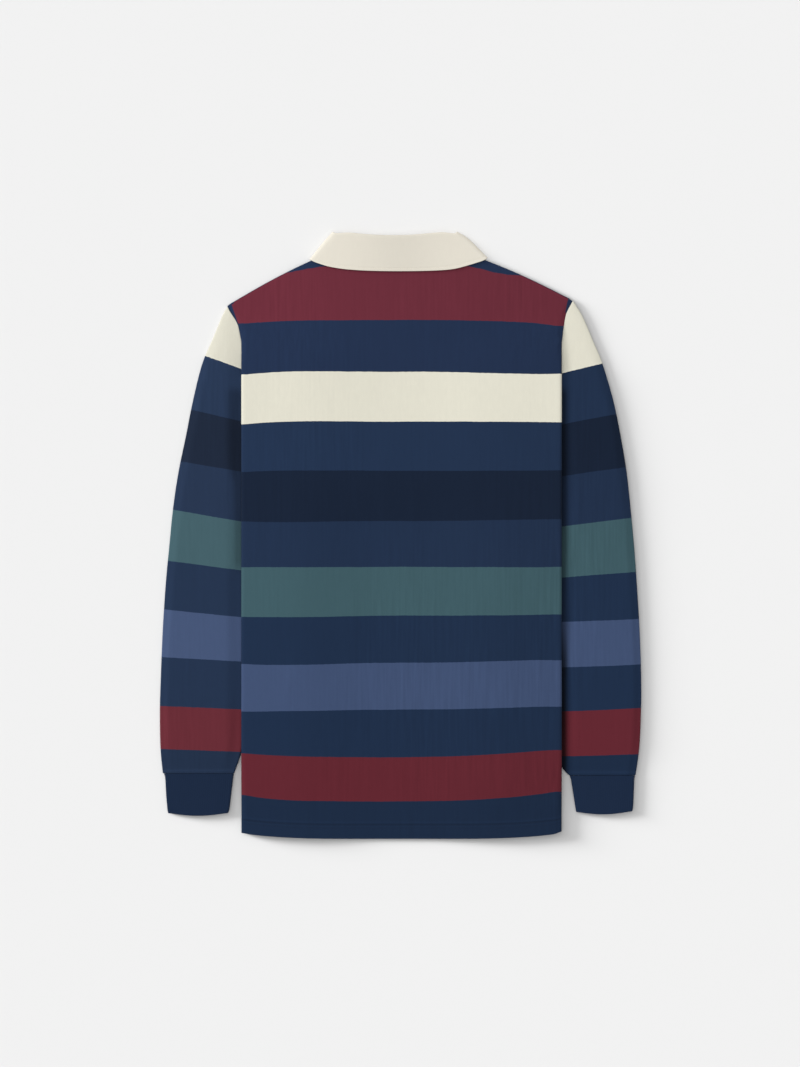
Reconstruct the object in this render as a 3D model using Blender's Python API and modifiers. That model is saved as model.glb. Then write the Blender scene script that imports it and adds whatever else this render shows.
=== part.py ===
# Long-sleeved polo shirt in block-striped jersey, laid flat with its back up.
# Its two sides are tucked under along straight folds and the sleeves come out from beneath them.
# The surface it lies on is z = 0, the collar points to +Y, and +X is to the right seen from above.
# All sizes below are millimetres. They become metres when a mesh is made.

import math

import bmesh
import bpy
from mathutils import Vector

MM = 0.001

# Cloth walls and gaps
CLOTH = 1.2
FALL_CLOTH = 1.4
CUFF_CLOTH = 1.6
PLACKET_CLOTH = 1.0
SEAM_GAP = 0.35

# Body
TUCK_WIDTH = 72.0
TUCK_ROLL_BACK = 3.0
TUCK_ROLL_FRONT = 1.4
LAYER_OFFSET = 0.8
EDGE_DRAW_IN = 0.018
UNDERARM_Y = 85.0
TUCK_TOP_Y = 225.0
ARMHOLE_SEEN_Y = 245.0
SIDE_CENTRE_HIGH = 10.0
SIDE_CENTRE_HEM = 5.8
SIDE_CENTRE_TIP = 2.7
MIDDLE_LOW = 1.4
NECK_CENTRE_Z = 5.2
NECK_LAYER_OFFSET = 1.35
RISE_START_X = 20.0
RISE_END_X = 140.0
SHOULDER_END_X = 205.0
LEAST_TUCK = 1.5
SEEN_EDGE_TURN = 4.0
TIP_TURN = 16.0
SHOULDER_BOW = 2.8
SHOULDER_SLOPE = 0.7

# Heights between which the body changes from one form to the next, lower one first
HEM_RISE = (-365.0, -292.0)
NECK_RISE = (5.0, 72.0)
TOP_CURVES = (20.0, 289.5)
OPENING_RISE = (40.0, 110.0)
DRAW_IN_FADE = (190.0, 280.0)
FOLD_OPENS = (198.0, 258.0)
TIP_SHIFT = (200.0, 289.5)
TIP_FALL = (215.0, 290.0)
TIP_SLOPES = (245.0, 289.5)
SHOULDER_RISE = (215.0, 300.0)
SEEN_EDGE_GROWS = (235.0, 262.0)
# Distances from the middle line over which the neck's wider gap between the layers fades
OPENING_FADE = (75.0, 150.0)

# Neck and collar
NECK_X = -4.0
NECK_HALF_WIDTH = 90.0
NECK_POINT_Y = 353.0
BACK_NECK_DIP = 12.0
BACK_NECK_POWER = 4
FRONT_NECK_DROP = 91.0
FRONT_NECK_POWER = 2.2
FALL_LEVEL = 4.5
STAND_LEVEL = NECK_LAYER_OFFSET
FALL_DROOP = 0.7
TURN_LENGTH = 0.6

# Sleeves and cuffs
SLEEVE_BOTTOM_Z = 0.6
SLEEVE_EDGE_RISE = 2.6
SLEEVE_CROWN = 2.9
SLEEVE_CROWN_AT_TIP = 0.25
SLEEVE_CROWN_AT_CUFF = 0.5
TIP_START_Y = (180.0, 265.0)
CUFF_START_Y = (-250.0, -300.0)
CUFF_BOTTOM_Z = 0.8
CUFF_RISE = 3.0
CUFF_CROWN = 0.5
# Distances from a tube's edge, or from the body's edge, over which its upper layer rises
CROWN_RISE = (2.0, 20.0)
OUTER_CROWN_RISE = (1.0, 12.0)

# Placket and buttons
PLACKET_WIDTH = 32.0
PLACKET_TOP_Y = 261.0
PLACKET_LENGTH = 179.0
PLACKET_STEPS = 9
PLACKET_SHARES = (-0.5, -0.25, 0.0, 0.25, 0.5)
BUTTON_DIAMETER = 11.5
BUTTON_THICKNESS = 1.6
BUTTON_RIM = 0.4
BUTTON_SIDES = 20
BUTTON_SHARP_ANGLE = 40.0
BUTTON_YS = (236.0, 181.0, 126.0)

# Side of the body seen from above: reach is the distance of its edge from the middle line.
LEFT = {"name": "left", "sign": -1, "tip_y": 291.3, "reach": 200.3}
RIGHT = {"name": "right", "sign": 1, "tip_y": 297.6, "reach": 202.9}

# Visible part of each armhole, from the straight edge up to the shoulder tip.
ARMHOLE_COLUMNS = ("y", "left_reach", "right_reach")
ARMHOLE = (
    (245.0, 200.4, 203.2),
    (255.0, 202.2, 204.0),
    (264.0, 204.3, 205.4),
    (271.0, 208.0, 206.7),
    (278.0, 212.6, 208.2),
    (285.0, 216.8, 211.4),
    (289.5, 218.9, 214.0),
    (295.4, 218.9, 217.2),
    (297.6, 218.9, 217.8),
)

# Rows of the body panels, from the hem to the shoulder tips. The last is where TOP_CURVES ends.
BODY_ROW_YS = (-382.7, -360.0, -325.0, -285.0, -225.0, -150.0, -70.0, 5.0, 45.0, 85.0, 112.0,
               140.0, 168.0, 192.0, 208.0, 222.0, 235.0, 247.0, 259.0, 270.0, 280.0, 289.5)
NECK_COLUMNS = 5
SHOULDER_COLUMNS = 4
FOLD_STEPS = 5
TUCK_STEPS = 2
NECK_SHARE = 0.44

# Sleeves and cuffs: outer edge and inner edge of each row.
TUBE_COLUMNS = ("outer_x", "outer_y", "inner_x", "inner_y")
# Sleeves, from the armhole to the cuff seam
SLEEVE_LEFT = (
    (-219.0, 287.2, -129.0, 85.0),
    (-224.9, 275.7, -127.5, 77.0),
    (-237.5, 245.4, -126.0, 66.0),
    (-250.1, 215.2, -126.0, 52.0),
    (-261.5, 169.8, -128.0, 34.0),
    (-270.5, 124.5, -133.0, 10.0),
    (-279.8, 79.1, -140.0, -18.0),
    (-286.5, 33.8, -149.0, -48.0),
    (-291.0, -11.6, -159.0, -82.0),
    (-295.3, -57.0, -169.0, -118.0),
    (-299.3, -117.4, -181.0, -160.0),
    (-301.8, -177.9, -191.0, -205.0),
    (-303.0, -223.3, -195.0, -243.0),
    (-302.2, -268.6, -200.9, -275.0),
    (-299.3, -300.1, -209.4, -300.1),
)
SLEEVE_RIGHT = (
    (218.4, 294.6, 131.5, 85.0),
    (230.0, 275.7, 130.0, 77.0),
    (242.9, 245.4, 128.5, 66.0),
    (255.2, 215.2, 128.5, 52.0),
    (268.5, 169.8, 130.0, 34.0),
    (277.8, 124.5, 135.0, 10.0),
    (285.2, 79.1, 142.0, -18.0),
    (290.0, 33.8, 151.0, -48.0),
    (294.2, -11.6, 161.0, -82.0),
    (297.4, -57.0, 171.0, -118.0),
    (301.0, -117.4, 182.0, -160.0),
    (303.0, -177.9, 191.0, -207.0),
    (302.8, -223.3, 195.0, -250.0),
    (300.6, -268.6, 201.4, -288.0),
    (296.0, -302.4, 212.2, -302.8),
)
SLEEVE_ACROSS = 9
ACROSS_POWER = 1.25
EDGE_STEPS = 4
# The bend of the armhole fades out of the sleeve's rows by this row.
BEND_ROWS = 12.0
BEND_POWER = 1.5

# Cuffs, from the cuff seam to the open end
CUFF_LEFT = (
    (-298.0, -300.5, -209.8, -300.5),
    (-296.3, -306.0, -210.6, -306.0),
    (-295.0, -328.0, -213.0, -326.0),
    (-293.4, -346.0, -215.4, -345.0),
    (-292.4, -350.2, -217.0, -350.0),
)
CUFF_RIGHT = (
    (295.2, -302.8, 212.8, -303.2),
    (294.4, -308.0, 214.6, -308.4),
    (293.6, -328.0, 217.6, -327.0),
    (292.8, -343.4, 220.2, -343.6),
    (291.8, -347.8, 221.2, -348.8),
)
CUFF_END_BOW = 3.5

# Collar stations round the neck: the fold line and the outer edge of the fall, each beside the
# neckline station of the same number of steps from the middle. The front leaves are underneath.
COLLAR_COLUMNS = ("step", "fold_x", "fold_y", "edge_x", "edge_y")
COLLAR_BACK = (
    (-5, -82.6, 376.8, -110.6, 343.6),
    (-4, -66.0, 378.3, -92.0, 337.2),
    (-3, -50.0, 376.4, -72.5, 333.9),
    (-2, -34.0, 375.2, -48.5, 332.1),
    (-1, -19.0, 374.7, -25.0, 331.4),
    (0, -5.0, 374.6, -2.0, 331.2),
    (1, 10.0, 374.9, 21.5, 331.4),
    (2, 25.0, 376.0, 45.0, 332.0),
    (3, 41.0, 377.6, 67.5, 333.6),
    (4, 55.0, 378.6, 90.0, 340.0),
    (5, 69.5, 376.6, 106.4, 345.2),
)
# The front half is the same on both sides of the neck's middle line.
COLLAR_FRONT = (
    (4, 50.0, 328.0, 103.0, 323.0),
    (3, 32.0, 306.0, 97.0, 305.0),
    (2, 20.5, 299.5, 89.5, 289.0),
    (1, 10.0, 296.0, 81.0, 275.0),
    (0, 1.5, 294.5, 72.0, 262.0),
)
SIDE_BULGE_LEFT = 0.5
SIDE_BULGE_RIGHT = 2.2
FRONT_END_GAP = 0.6
COLLAR_ROLL_STEPS = 4
FALL_ROWS = 5
TURN_STEPS = 4
STAND_START = 1.0
STAND_ROWS = 3

COLOURS = {
    "navy": (0.018, 0.033, 0.077, 1.0),
    "ivory": (0.72, 0.67, 0.56, 1.0),
    "button": (0.62, 0.57, 0.47, 1.0),
}


def smooth(start, end, value):
    share = min(max((value - start) / (end - start), 0.0), 1.0)
    return share * share * (3.0 - 2.0 * share)


def mix(first, second, share):
    return first + (second - first) * share


def from_table(rows, value, column):
    if value <= rows[0][0]:
        return rows[0][column]
    for lower, upper in zip(rows, rows[1:]):
        if value <= upper[0]:
            share = (value - lower[0]) / (upper[0] - lower[0])
            return mix(lower[column], upper[column], share)
    return rows[-1][column]


# Body outline seen from above

def edge_reach(side, y):
    """Distance of the body's seen edge from the middle line at a height on the shirt."""
    column = ARMHOLE_COLUMNS.index(side["name"] + "_reach")
    if y <= ARMHOLE_SEEN_Y:
        return side["reach"]
    return from_table(ARMHOLE, y, column)


def tuck_width(y):
    """Width of the tucked strip: full below the underarm, then cut away along the armhole."""
    share = min(max((y - UNDERARM_Y) / (TUCK_TOP_Y - UNDERARM_Y), 0.0), 1.0)
    least = mix(LEAST_TUCK, SEEN_EDGE_TURN, smooth(*SEEN_EDGE_GROWS, y))
    return max(TUCK_WIDTH * (1.0 - share) ** 2, least)


def fold_turn(y):
    """How far round the fold the cloth goes, in radians: right round below the armhole."""
    return mix(math.pi, math.radians(TIP_TURN), smooth(*FOLD_OPENS, y))


def back_neck_y(step):
    share = step / NECK_COLUMNS
    return NECK_POINT_Y - BACK_NECK_DIP * (1.0 - share ** BACK_NECK_POWER)


def front_neck_y(step):
    share = abs(step) / NECK_COLUMNS
    return NECK_POINT_Y - FRONT_NECK_DROP * math.sqrt(max(1.0 - share ** FRONT_NECK_POWER, 0.0))


def neck_x(step):
    return NECK_X + NECK_HALF_WIDTH * step / NECK_COLUMNS


# Heights of the layers

def side_centre(y):
    """Middle height between the two panels near the side folds."""
    hem_share = smooth(*HEM_RISE, y)
    tip_share = smooth(*TIP_FALL, y)
    return mix(mix(SIDE_CENTRE_HEM, SIDE_CENTRE_HIGH, hem_share), SIDE_CENTRE_TIP, tip_share)


def middle_centre(y):
    """Middle height between the two panels along the middle of the shirt, over the placket too."""
    return mix(MIDDLE_LOW, NECK_CENTRE_Z, smooth(*NECK_RISE, y))


def panel_centre(x, y):
    """The layers rise from the middle of the shirt to the tucked sides, further out at the top."""
    shoulder = smooth(*SHOULDER_RISE, y)
    rise_start = mix(RISE_START_X, NECK_HALF_WIDTH, shoulder)
    rise_end = mix(RISE_END_X, SHOULDER_END_X, shoulder)
    return mix(middle_centre(y), side_centre(y), smooth(rise_start, rise_end, abs(x)))


def panel_z(x, y, layer):
    """Height of a panel's middle surface. layer is 1 for the back and -1 for the front.

    Over the placket and round the neck the two lie a little further apart."""
    opening = smooth(*OPENING_RISE, y) * (1.0 - smooth(*OPENING_FADE, abs(x)))
    return panel_centre(x, y) + layer * mix(LAYER_OFFSET, NECK_LAYER_OFFSET, opening)


# Body panels

def column_shares():
    """Places of the flat columns between the middle line and the fold, as shares."""
    neck = [NECK_SHARE * step / NECK_COLUMNS for step in range(NECK_COLUMNS + 1)]
    rest = 1.0 - NECK_SHARE
    shoulder = [NECK_SHARE + rest * step / SHOULDER_COLUMNS for step in range(1, SHOULDER_COLUMNS + 1)]
    return neck + shoulder


def half_row(side, row_y, layer):
    """Points of one row of a panel, from the middle line round the fold to the tucked seam."""
    sign = side["sign"]
    roll = TUCK_ROLL_BACK if layer > 0 else TUCK_ROLL_FRONT
    top_share = smooth(*TOP_CURVES, row_y)
    y_base = row_y + (side["tip_y"] - BODY_ROW_YS[-1]) * smooth(*TIP_SHIFT, row_y)
    turn = fold_turn(y_base)
    tucked = tuck_width(y_base)
    steep = min(turn, math.pi / 2)
    edge_depth = (TUCK_ROLL_BACK + CLOTH / 2) * math.sin(steep) + tucked * math.cos(steep)
    lowering = SHOULDER_SLOPE * smooth(*TIP_SLOPES, y_base)
    seam_y = y_base - lowering * (roll * turn + tucked)
    fold_centre_x = edge_reach(side, seam_y) - edge_depth
    middle_x = mix(0.0, NECK_X, top_share)
    draw_in = EDGE_DRAW_IN * row_y * (1.0 - smooth(*DRAW_IN_FADE, row_y))
    points = []
    for index, share in enumerate(column_shares()):
        neck_end_x = sign * NECK_HALF_WIDTH + NECK_X
        flat_x = mix(middle_x, sign * fold_centre_x, share)
        if index <= NECK_COLUMNS:
            top_x = neck_x(sign * index)
        else:
            shoulder_share = (index - NECK_COLUMNS) / SHOULDER_COLUMNS
            top_x = mix(neck_end_x, sign * fold_centre_x, shoulder_share)
        x = mix(flat_x, top_x, top_share)
        y = y_base - draw_in * (abs(x) / fold_centre_x) ** 4
        y += top_lift(side, index, layer) * top_share ** 2
        points.append((x, y, panel_z(x, y, layer)))
    fold_z = side_centre(y_base) - (TUCK_ROLL_BACK - LAYER_OFFSET)
    fold_y = y_base - draw_in
    for length in fold_lengths(y_base, roll * turn, tucked):
        out, up = fold_path(roll, turn, length)
        points.append((sign * (fold_centre_x + out), fold_y - lowering * length, fold_z + up))
    return points


def fold_lengths(y, arc, tucked):
    """Places of the last columns along the fold and the tucked strip, even near the shoulder."""
    folded = [arc * step / FOLD_STEPS for step in range(1, FOLD_STEPS + 1)]
    folded += [arc + tucked * step / TUCK_STEPS for step in range(1, TUCK_STEPS + 1)]
    evenness = smooth(*FOLD_OPENS, y)
    return [mix(place, (arc + tucked) * (number + 1) / len(folded), evenness)
            for number, place in enumerate(folded)]


def fold_path(roll, turn, length):
    """A point at a length round a fold, then straight on: outward and upward from its centre."""
    angle = min(length / roll, turn)
    beyond = max(length - roll * turn, 0.0)
    out = roll * math.sin(angle) + beyond * math.cos(turn)
    return out, roll * math.cos(angle) - beyond * math.sin(turn)


def top_lift(side, index, layer):
    """How far a column's top stands above the shoulder tip."""
    tip_y = side["tip_y"]
    if index <= NECK_COLUMNS:
        top_y = back_neck_y(index) if layer > 0 else front_neck_y(index)
        return top_y - tip_y
    share = (index - NECK_COLUMNS) / SHOULDER_COLUMNS
    return (NECK_POINT_Y - tip_y) * (1.0 - share) + SHOULDER_BOW * math.sin(math.pi * share)


def panel_rows(layer):
    rows = []
    for row_y in BODY_ROW_YS:
        left = half_row(LEFT, row_y, layer)
        right = half_row(RIGHT, row_y, layer)
        rows.append(list(reversed(left[1:])) + right)
    return rows


# Sleeves and cuffs

def armhole_point(side, y):
    """Where the sleeve is sewn on, seen from above: beside the edge, then under the tucked strip."""
    if y > ARMHOLE_SEEN_Y:
        return side["sign"] * (edge_reach(side, y) + SEAM_GAP)
    return side["sign"] * (side["reach"] - tuck_width(y))


def across_share(index):
    return (index / SLEEVE_ACROSS) ** ACROSS_POWER


def tube_edges(row):
    """The outer and the inner edge of a sleeve's or cuff's row, as seen from above."""
    place = dict(zip(TUBE_COLUMNS, row))
    return Vector((place["outer_x"], place["outer_y"])), Vector((place["inner_x"], place["inner_y"]))


def ring(outer, inner, middles, bottom_z, rise, wall, crown):
    """One closed section of a flattened tube: under layer, outer edge, upper layer, inner edge."""
    outward = (outer - middles[0]).normalized()
    inward = (inner - middles[-1]).normalized()
    roll = rise / 2
    inset = wall / 2 + roll
    flat = [outer - outward * inset] + middles + [inner - inward * inset]
    points = [(spot.x, spot.y, bottom_z) for spot in reversed(flat)]
    for step in range(1, EDGE_STEPS):
        angle = math.pi * step / EDGE_STEPS
        spot = flat[0] + outward * (roll * math.sin(angle))
        points.append((spot.x, spot.y, bottom_z + roll - roll * math.cos(angle)))
    for spot in flat:
        points.append((spot.x, spot.y, bottom_z + rise + crown(spot, outer, inner)))
    for step in range(1, EDGE_STEPS):
        angle = math.pi * step / EDGE_STEPS
        spot = flat[-1] + inward * (roll * math.sin(angle))
        points.append((spot.x, spot.y, bottom_z + roll + roll * math.cos(angle)))
    return points


def sleeve_rows(side, table):
    first_outer, first_inner = tube_edges(table[0])

    def crown(spot, outer, inner):
        beside = smooth(*CROWN_RISE, abs(spot.x) - side["reach"])
        from_outer = smooth(*OUTER_CROWN_RISE, (spot - outer).length)
        from_inner = smooth(*CROWN_RISE, (spot - inner).length)
        tip_share = mix(1.0, SLEEVE_CROWN_AT_TIP, smooth(*TIP_START_Y, spot.y))
        cuff_share = mix(1.0, SLEEVE_CROWN_AT_CUFF, smooth(*CUFF_START_Y, spot.y))
        return SLEEVE_CROWN * beside * from_outer * from_inner * tip_share * cuff_share

    rows = []
    for number, row in enumerate(table):
        outer, inner = tube_edges(row)
        bend_share = max(1.0 - number / BEND_ROWS, 0.0) ** BEND_POWER
        middles = []
        for index in range(1, SLEEVE_ACROSS):
            share = across_share(index)
            sewn_y = mix(first_outer.y, first_inner.y, share)
            sewn = Vector((armhole_point(side, sewn_y), sewn_y))
            bend = sewn - first_outer.lerp(first_inner, share)
            middles.append(outer.lerp(inner, share) + bend * bend_share)
        rows.append(ring(outer, inner, middles, SLEEVE_BOTTOM_Z, SLEEVE_EDGE_RISE, CLOTH, crown))
    return rows


def cuff_rows(table):
    def crown(spot, outer, inner):
        return CUFF_CROWN * smooth(*CROWN_RISE, min((spot - outer).length, (spot - inner).length))

    rows = []
    for number, row in enumerate(table):
        outer, inner = tube_edges(row)
        bow = CUFF_END_BOW * smooth(1.0, len(table) - 1, number)
        middles = []
        for index in range(1, SLEEVE_ACROSS):
            share = index / SLEEVE_ACROSS
            spot = outer.lerp(inner, share)
            spot.y -= bow * math.sin(math.pi * share)
            middles.append(spot)
        rows.append(ring(outer, inner, middles, CUFF_BOTTOM_Z, CUFF_RISE, CUFF_CLOTH, crown))
    return rows


# Collar

def collar_stations():
    """Stations all round the neck, from the left front end over the back to the right front end.

    Each has the neck, fold and edge points seen from above, the outward direction of the side it
    turns round, how far it has turned (0 is the front, pi the back) and its bulge."""
    def named(row):
        return dict(zip(COLLAR_COLUMNS, row))

    def station(place, front, turn, out, bulge):
        step = place["step"]
        neck_y = front_neck_y(step) if front else back_neck_y(abs(step))
        neck = Vector((neck_x(step), neck_y))
        if front and step == 0:
            neck.x += math.copysign(FRONT_END_GAP, place["fold_x"] - NECK_X)
        return {"neck": neck, "fold": Vector((place["fold_x"], place["fold_y"])),
                "edge": Vector((place["edge_x"], place["edge_y"])), "turn": turn, "out": out, "bulge": bulge}

    def mirrored(place):
        return dict(place, step=-place["step"], fold_x=2 * NECK_X - place["fold_x"],
                    edge_x=2 * NECK_X - place["edge_x"])

    def side_out(place, sign):
        along = Vector((place["edge_x"] - place["fold_x"], place["edge_y"] - place["fold_y"])).normalized()
        return Vector((-along.y, along.x)) * sign

    none = Vector((0.0, 0.0))
    back = [named(row) for row in COLLAR_BACK]
    front = [named(row) for row in COLLAR_FRONT]
    left_end, right_end = back[0], back[-1]
    stations = [station(mirrored(place), True, 0.0, none, 0.0) for place in reversed(front)]
    for step in range(COLLAR_ROLL_STEPS + 1):
        turn = math.pi * step / COLLAR_ROLL_STEPS
        stations.append(station(left_end, False, turn, side_out(left_end, -1), SIDE_BULGE_LEFT))
    for place in back[1:-1]:
        stations.append(station(place, False, math.pi, none, 0.0))
    for step in range(COLLAR_ROLL_STEPS + 1):
        turn = math.pi * (1.0 - step / COLLAR_ROLL_STEPS)
        stations.append(station(right_end, False, turn, side_out(right_end, 1), SIDE_BULGE_RIGHT))
    for place in front:
        stations.append(station(place, True, 0.0, none, 0.0))
    return stations


def collar_point(spot, station, level, share):
    """A point at a level from the collar's middle height, carried round the side roll."""
    sideways = level * math.sin(station["turn"])
    sideways += station["bulge"] * 6.75 * share * (1.0 - share) ** 2 * math.sin(station["turn"])
    flat = spot + station["out"] * sideways
    return (flat.x, flat.y, NECK_CENTRE_Z - level * math.cos(station["turn"]))


def fall_rows():
    """The fall, from its outer edge to the fold line, then turned over to the stand."""
    rows = []
    for station in collar_stations():
        fold, edge = station["fold"], station["edge"]
        inward = (station["neck"] - fold).normalized()
        droop = FALL_DROOP * smooth(math.pi / 2, math.pi, station["turn"])
        points = []
        for row in range(FALL_ROWS, -1, -1):
            share = row / FALL_ROWS
            level = FALL_LEVEL - droop * share * share
            points.append(collar_point(fold.lerp(edge, share), station, level, share))
        roll = (FALL_LEVEL - STAND_LEVEL) / 2
        for step in range(1, TURN_STEPS + 1):
            angle = math.pi * step / TURN_STEPS
            spot = fold - inward * (roll * math.sin(angle))
            points.append(collar_point(spot, station, STAND_LEVEL + roll + roll * math.cos(angle), 0.0))
        points.append(collar_point(fold + inward * TURN_LENGTH, station, STAND_LEVEL, 0.0))
        rows.append(points)
    return rows


def stand_rows():
    """The stand, from under the turned fold down to the neckline."""
    rows = []
    for station in collar_stations():
        fold, neck = station["fold"], station["neck"]
        along = (neck - fold).normalized()
        start = fold + along * STAND_START
        end = neck - along * SEAM_GAP
        points = []
        for row in range(STAND_ROWS + 1):
            spot = start.lerp(end, row / STAND_ROWS)
            points.append(collar_point(spot, station, STAND_LEVEL, 0.0))
        rows.append(points)
    return rows


# Placket and buttons

def placket_rows():
    """A strip on the outer side of the front, made from the front's own heights."""
    rows = []
    depth = CLOTH / 2 + SEAM_GAP + PLACKET_CLOTH / 2
    for step in range(PLACKET_STEPS + 1):
        y = PLACKET_TOP_Y - PLACKET_LENGTH * (1.0 - step / PLACKET_STEPS)
        points = []
        for share in PLACKET_SHARES:
            x = NECK_X + PLACKET_WIDTH * share
            points.append((x, y, panel_z(x, y, -1) - depth))
        rows.append(points)
    return rows


# Making the objects

def make_material(name, colour, roughness):
    material = bpy.data.materials.new(name)
    material.use_nodes = True
    shader = material.node_tree.nodes["Principled BSDF"]
    shader.inputs["Base Color"].default_value = COLOURS[colour]
    shader.inputs["Roughness"].default_value = roughness
    shader.inputs["Metallic"].default_value = 0.0
    return material


def make_cloth(name, rows, wall, closed, material, collection):
    """Loft a sheet through rows of points and give it its wall."""
    mesh = bpy.data.meshes.new(name)
    sheet = bmesh.new()
    grid = [[sheet.verts.new(Vector(point) * MM) for point in row] for row in rows]
    count = len(rows[0])
    last = count if closed else count - 1
    for lower, upper in zip(grid, grid[1:]):
        for index in range(last):
            following = (index + 1) % count
            sheet.faces.new((lower[index], lower[following], upper[following], upper[index]))
    bmesh.ops.recalc_face_normals(sheet, faces=sheet.faces)
    sheet.to_mesh(mesh)
    sheet.free()
    mesh.shade_smooth()
    cloth = bpy.data.objects.new(name, mesh)
    cloth.data.materials.append(material)
    collection.objects.link(cloth)
    thick = cloth.modifiers.new("Wall", "SOLIDIFY")
    thick.thickness = wall * MM
    thick.offset = 0.0
    return cloth


def make_button(name, y, material, collection):
    bpy.ops.mesh.primitive_cylinder_add(
        vertices=BUTTON_SIDES, radius=BUTTON_DIAMETER / 2 * MM, depth=BUTTON_THICKNESS * MM,
        location=(NECK_X * MM, y * MM, BUTTON_THICKNESS / 2 * MM))
    button = bpy.context.active_object
    button.name = name
    button.data.name = name
    button.data.materials.append(material)
    button.data.shade_smooth()
    button.data.set_sharp_from_angle(angle=math.radians(BUTTON_SHARP_ANGLE))
    for owner in list(button.users_collection):
        owner.objects.unlink(button)
    collection.objects.link(button)
    rim = button.modifiers.new("Rim", "BEVEL")
    rim.width = BUTTON_RIM * MM
    rim.segments = 2
    rim.limit_method = "ANGLE"
    return button


def main():
    for item in list(bpy.data.objects):
        bpy.data.objects.remove(item, do_unlink=True)
    shirt = bpy.data.collections.new("polo_shirt")
    bpy.context.scene.collection.children.link(shirt)

    back = make_material("back_jersey", "navy", 0.85)
    make_cloth("back_panel", panel_rows(1), CLOTH, False, back, shirt)
    front = make_material("front_jersey", "navy", 0.85)
    make_cloth("front_panel", panel_rows(-1), CLOTH, False, front, shirt)

    arms = ((LEFT, SLEEVE_LEFT, CUFF_LEFT), (RIGHT, SLEEVE_RIGHT, CUFF_RIGHT))
    for side, sleeve_table, cuff_table in arms:
        name = side["name"]
        jersey = make_material("sleeve_jersey_" + name, "navy", 0.85)
        make_cloth("sleeve_" + name, sleeve_rows(side, sleeve_table), CLOTH, True, jersey, shirt)
        rib = make_material("cuff_rib_" + name, "navy", 0.9)
        make_cloth("cuff_" + name, cuff_rows(cuff_table), CUFF_CLOTH, True, rib, shirt)

    twill = make_material("collar_twill", "ivory", 0.8)
    make_cloth("collar_fall", fall_rows(), FALL_CLOTH, False, twill, shirt)
    stand_twill = make_material("stand_twill", "ivory", 0.8)
    make_cloth("collar_stand", stand_rows(), CLOTH, False, stand_twill, shirt)
    placket_twill = make_material("placket_twill", "ivory", 0.8)
    make_cloth("placket", placket_rows(), PLACKET_CLOTH, False, placket_twill, shirt)
    for number, y in enumerate(BUTTON_YS, start=1):
        horn = make_material("button_%d" % number, "button", 0.35)
        make_button("button_%d" % number, y, horn, shirt)


main()
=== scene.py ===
# Long-sleeved polo shirt in block-striped jersey, laid flat with its back up and its sides tucked under.
# Shapes are worked out in millimetres on the surface z = 0 and become metres when a mesh is made.

import math

import bpy
import numpy as np
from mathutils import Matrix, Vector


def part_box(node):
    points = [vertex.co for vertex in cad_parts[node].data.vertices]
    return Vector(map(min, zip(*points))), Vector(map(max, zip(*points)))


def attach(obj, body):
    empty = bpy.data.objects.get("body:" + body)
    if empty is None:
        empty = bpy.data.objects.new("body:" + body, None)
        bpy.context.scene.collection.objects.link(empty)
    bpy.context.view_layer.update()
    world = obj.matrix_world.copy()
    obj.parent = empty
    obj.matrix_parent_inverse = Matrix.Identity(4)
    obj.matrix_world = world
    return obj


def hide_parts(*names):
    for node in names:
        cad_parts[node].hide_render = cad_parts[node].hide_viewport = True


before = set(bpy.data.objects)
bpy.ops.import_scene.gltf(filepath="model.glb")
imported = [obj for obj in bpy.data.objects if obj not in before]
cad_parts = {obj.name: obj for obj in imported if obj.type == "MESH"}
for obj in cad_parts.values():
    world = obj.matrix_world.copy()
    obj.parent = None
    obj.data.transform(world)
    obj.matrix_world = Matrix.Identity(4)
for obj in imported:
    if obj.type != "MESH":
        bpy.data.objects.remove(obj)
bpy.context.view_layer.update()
print("frame loaded")


# Small helpers

def clearSelection():
    if bpy.context.object and bpy.context.object.mode != "OBJECT":
        bpy.ops.object.mode_set(mode="OBJECT")
    bpy.ops.object.select_all(action="DESELECT")


def ease(start, end, value):
    share = np.clip((value - start) / (end - start), 0.0, 1.0)
    return share * share * (3.0 - 2.0 * share)


def mix(first, second, share):
    return first + (second - first) * share


def applyModifier(piece, kind, **settings):
    modifier = piece.modifiers.new(kind.title(), kind)
    for key, value in settings.items():
        setattr(modifier, key, value)
    bpy.context.view_layer.objects.active = piece
    bpy.ops.object.modifier_apply(modifier=modifier.name)


def smoothRows(table, places):
    # a soft curve through the rows of a table, read at places counted in rows
    table = np.array(table, float)
    lower = np.clip(places.astype(int), 0, len(table) - 2)
    t = (places - lower)[:, None]
    before, start = table[np.maximum(lower - 1, 0)], table[lower]
    end, after = table[lower + 1], table[np.minimum(lower + 2, len(table) - 1)]
    return start + 0.5 * t * (end - before + t * (2 * before - 5 * start + 4 * end - after
                                                  + t * (3 * (start - end) + after - before)))


def evenPlaces(table, spacing):
    # places along a table's first two columns that lie about the spacing apart
    table = np.array(table, float)
    run = np.concatenate([[0.0], np.cumsum(np.hypot(*np.diff(table[:, :2], axis=0).T))])
    return np.interp(np.linspace(0, run[-1], int(run[-1] / spacing) + 1), run, np.arange(len(run)))


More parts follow.
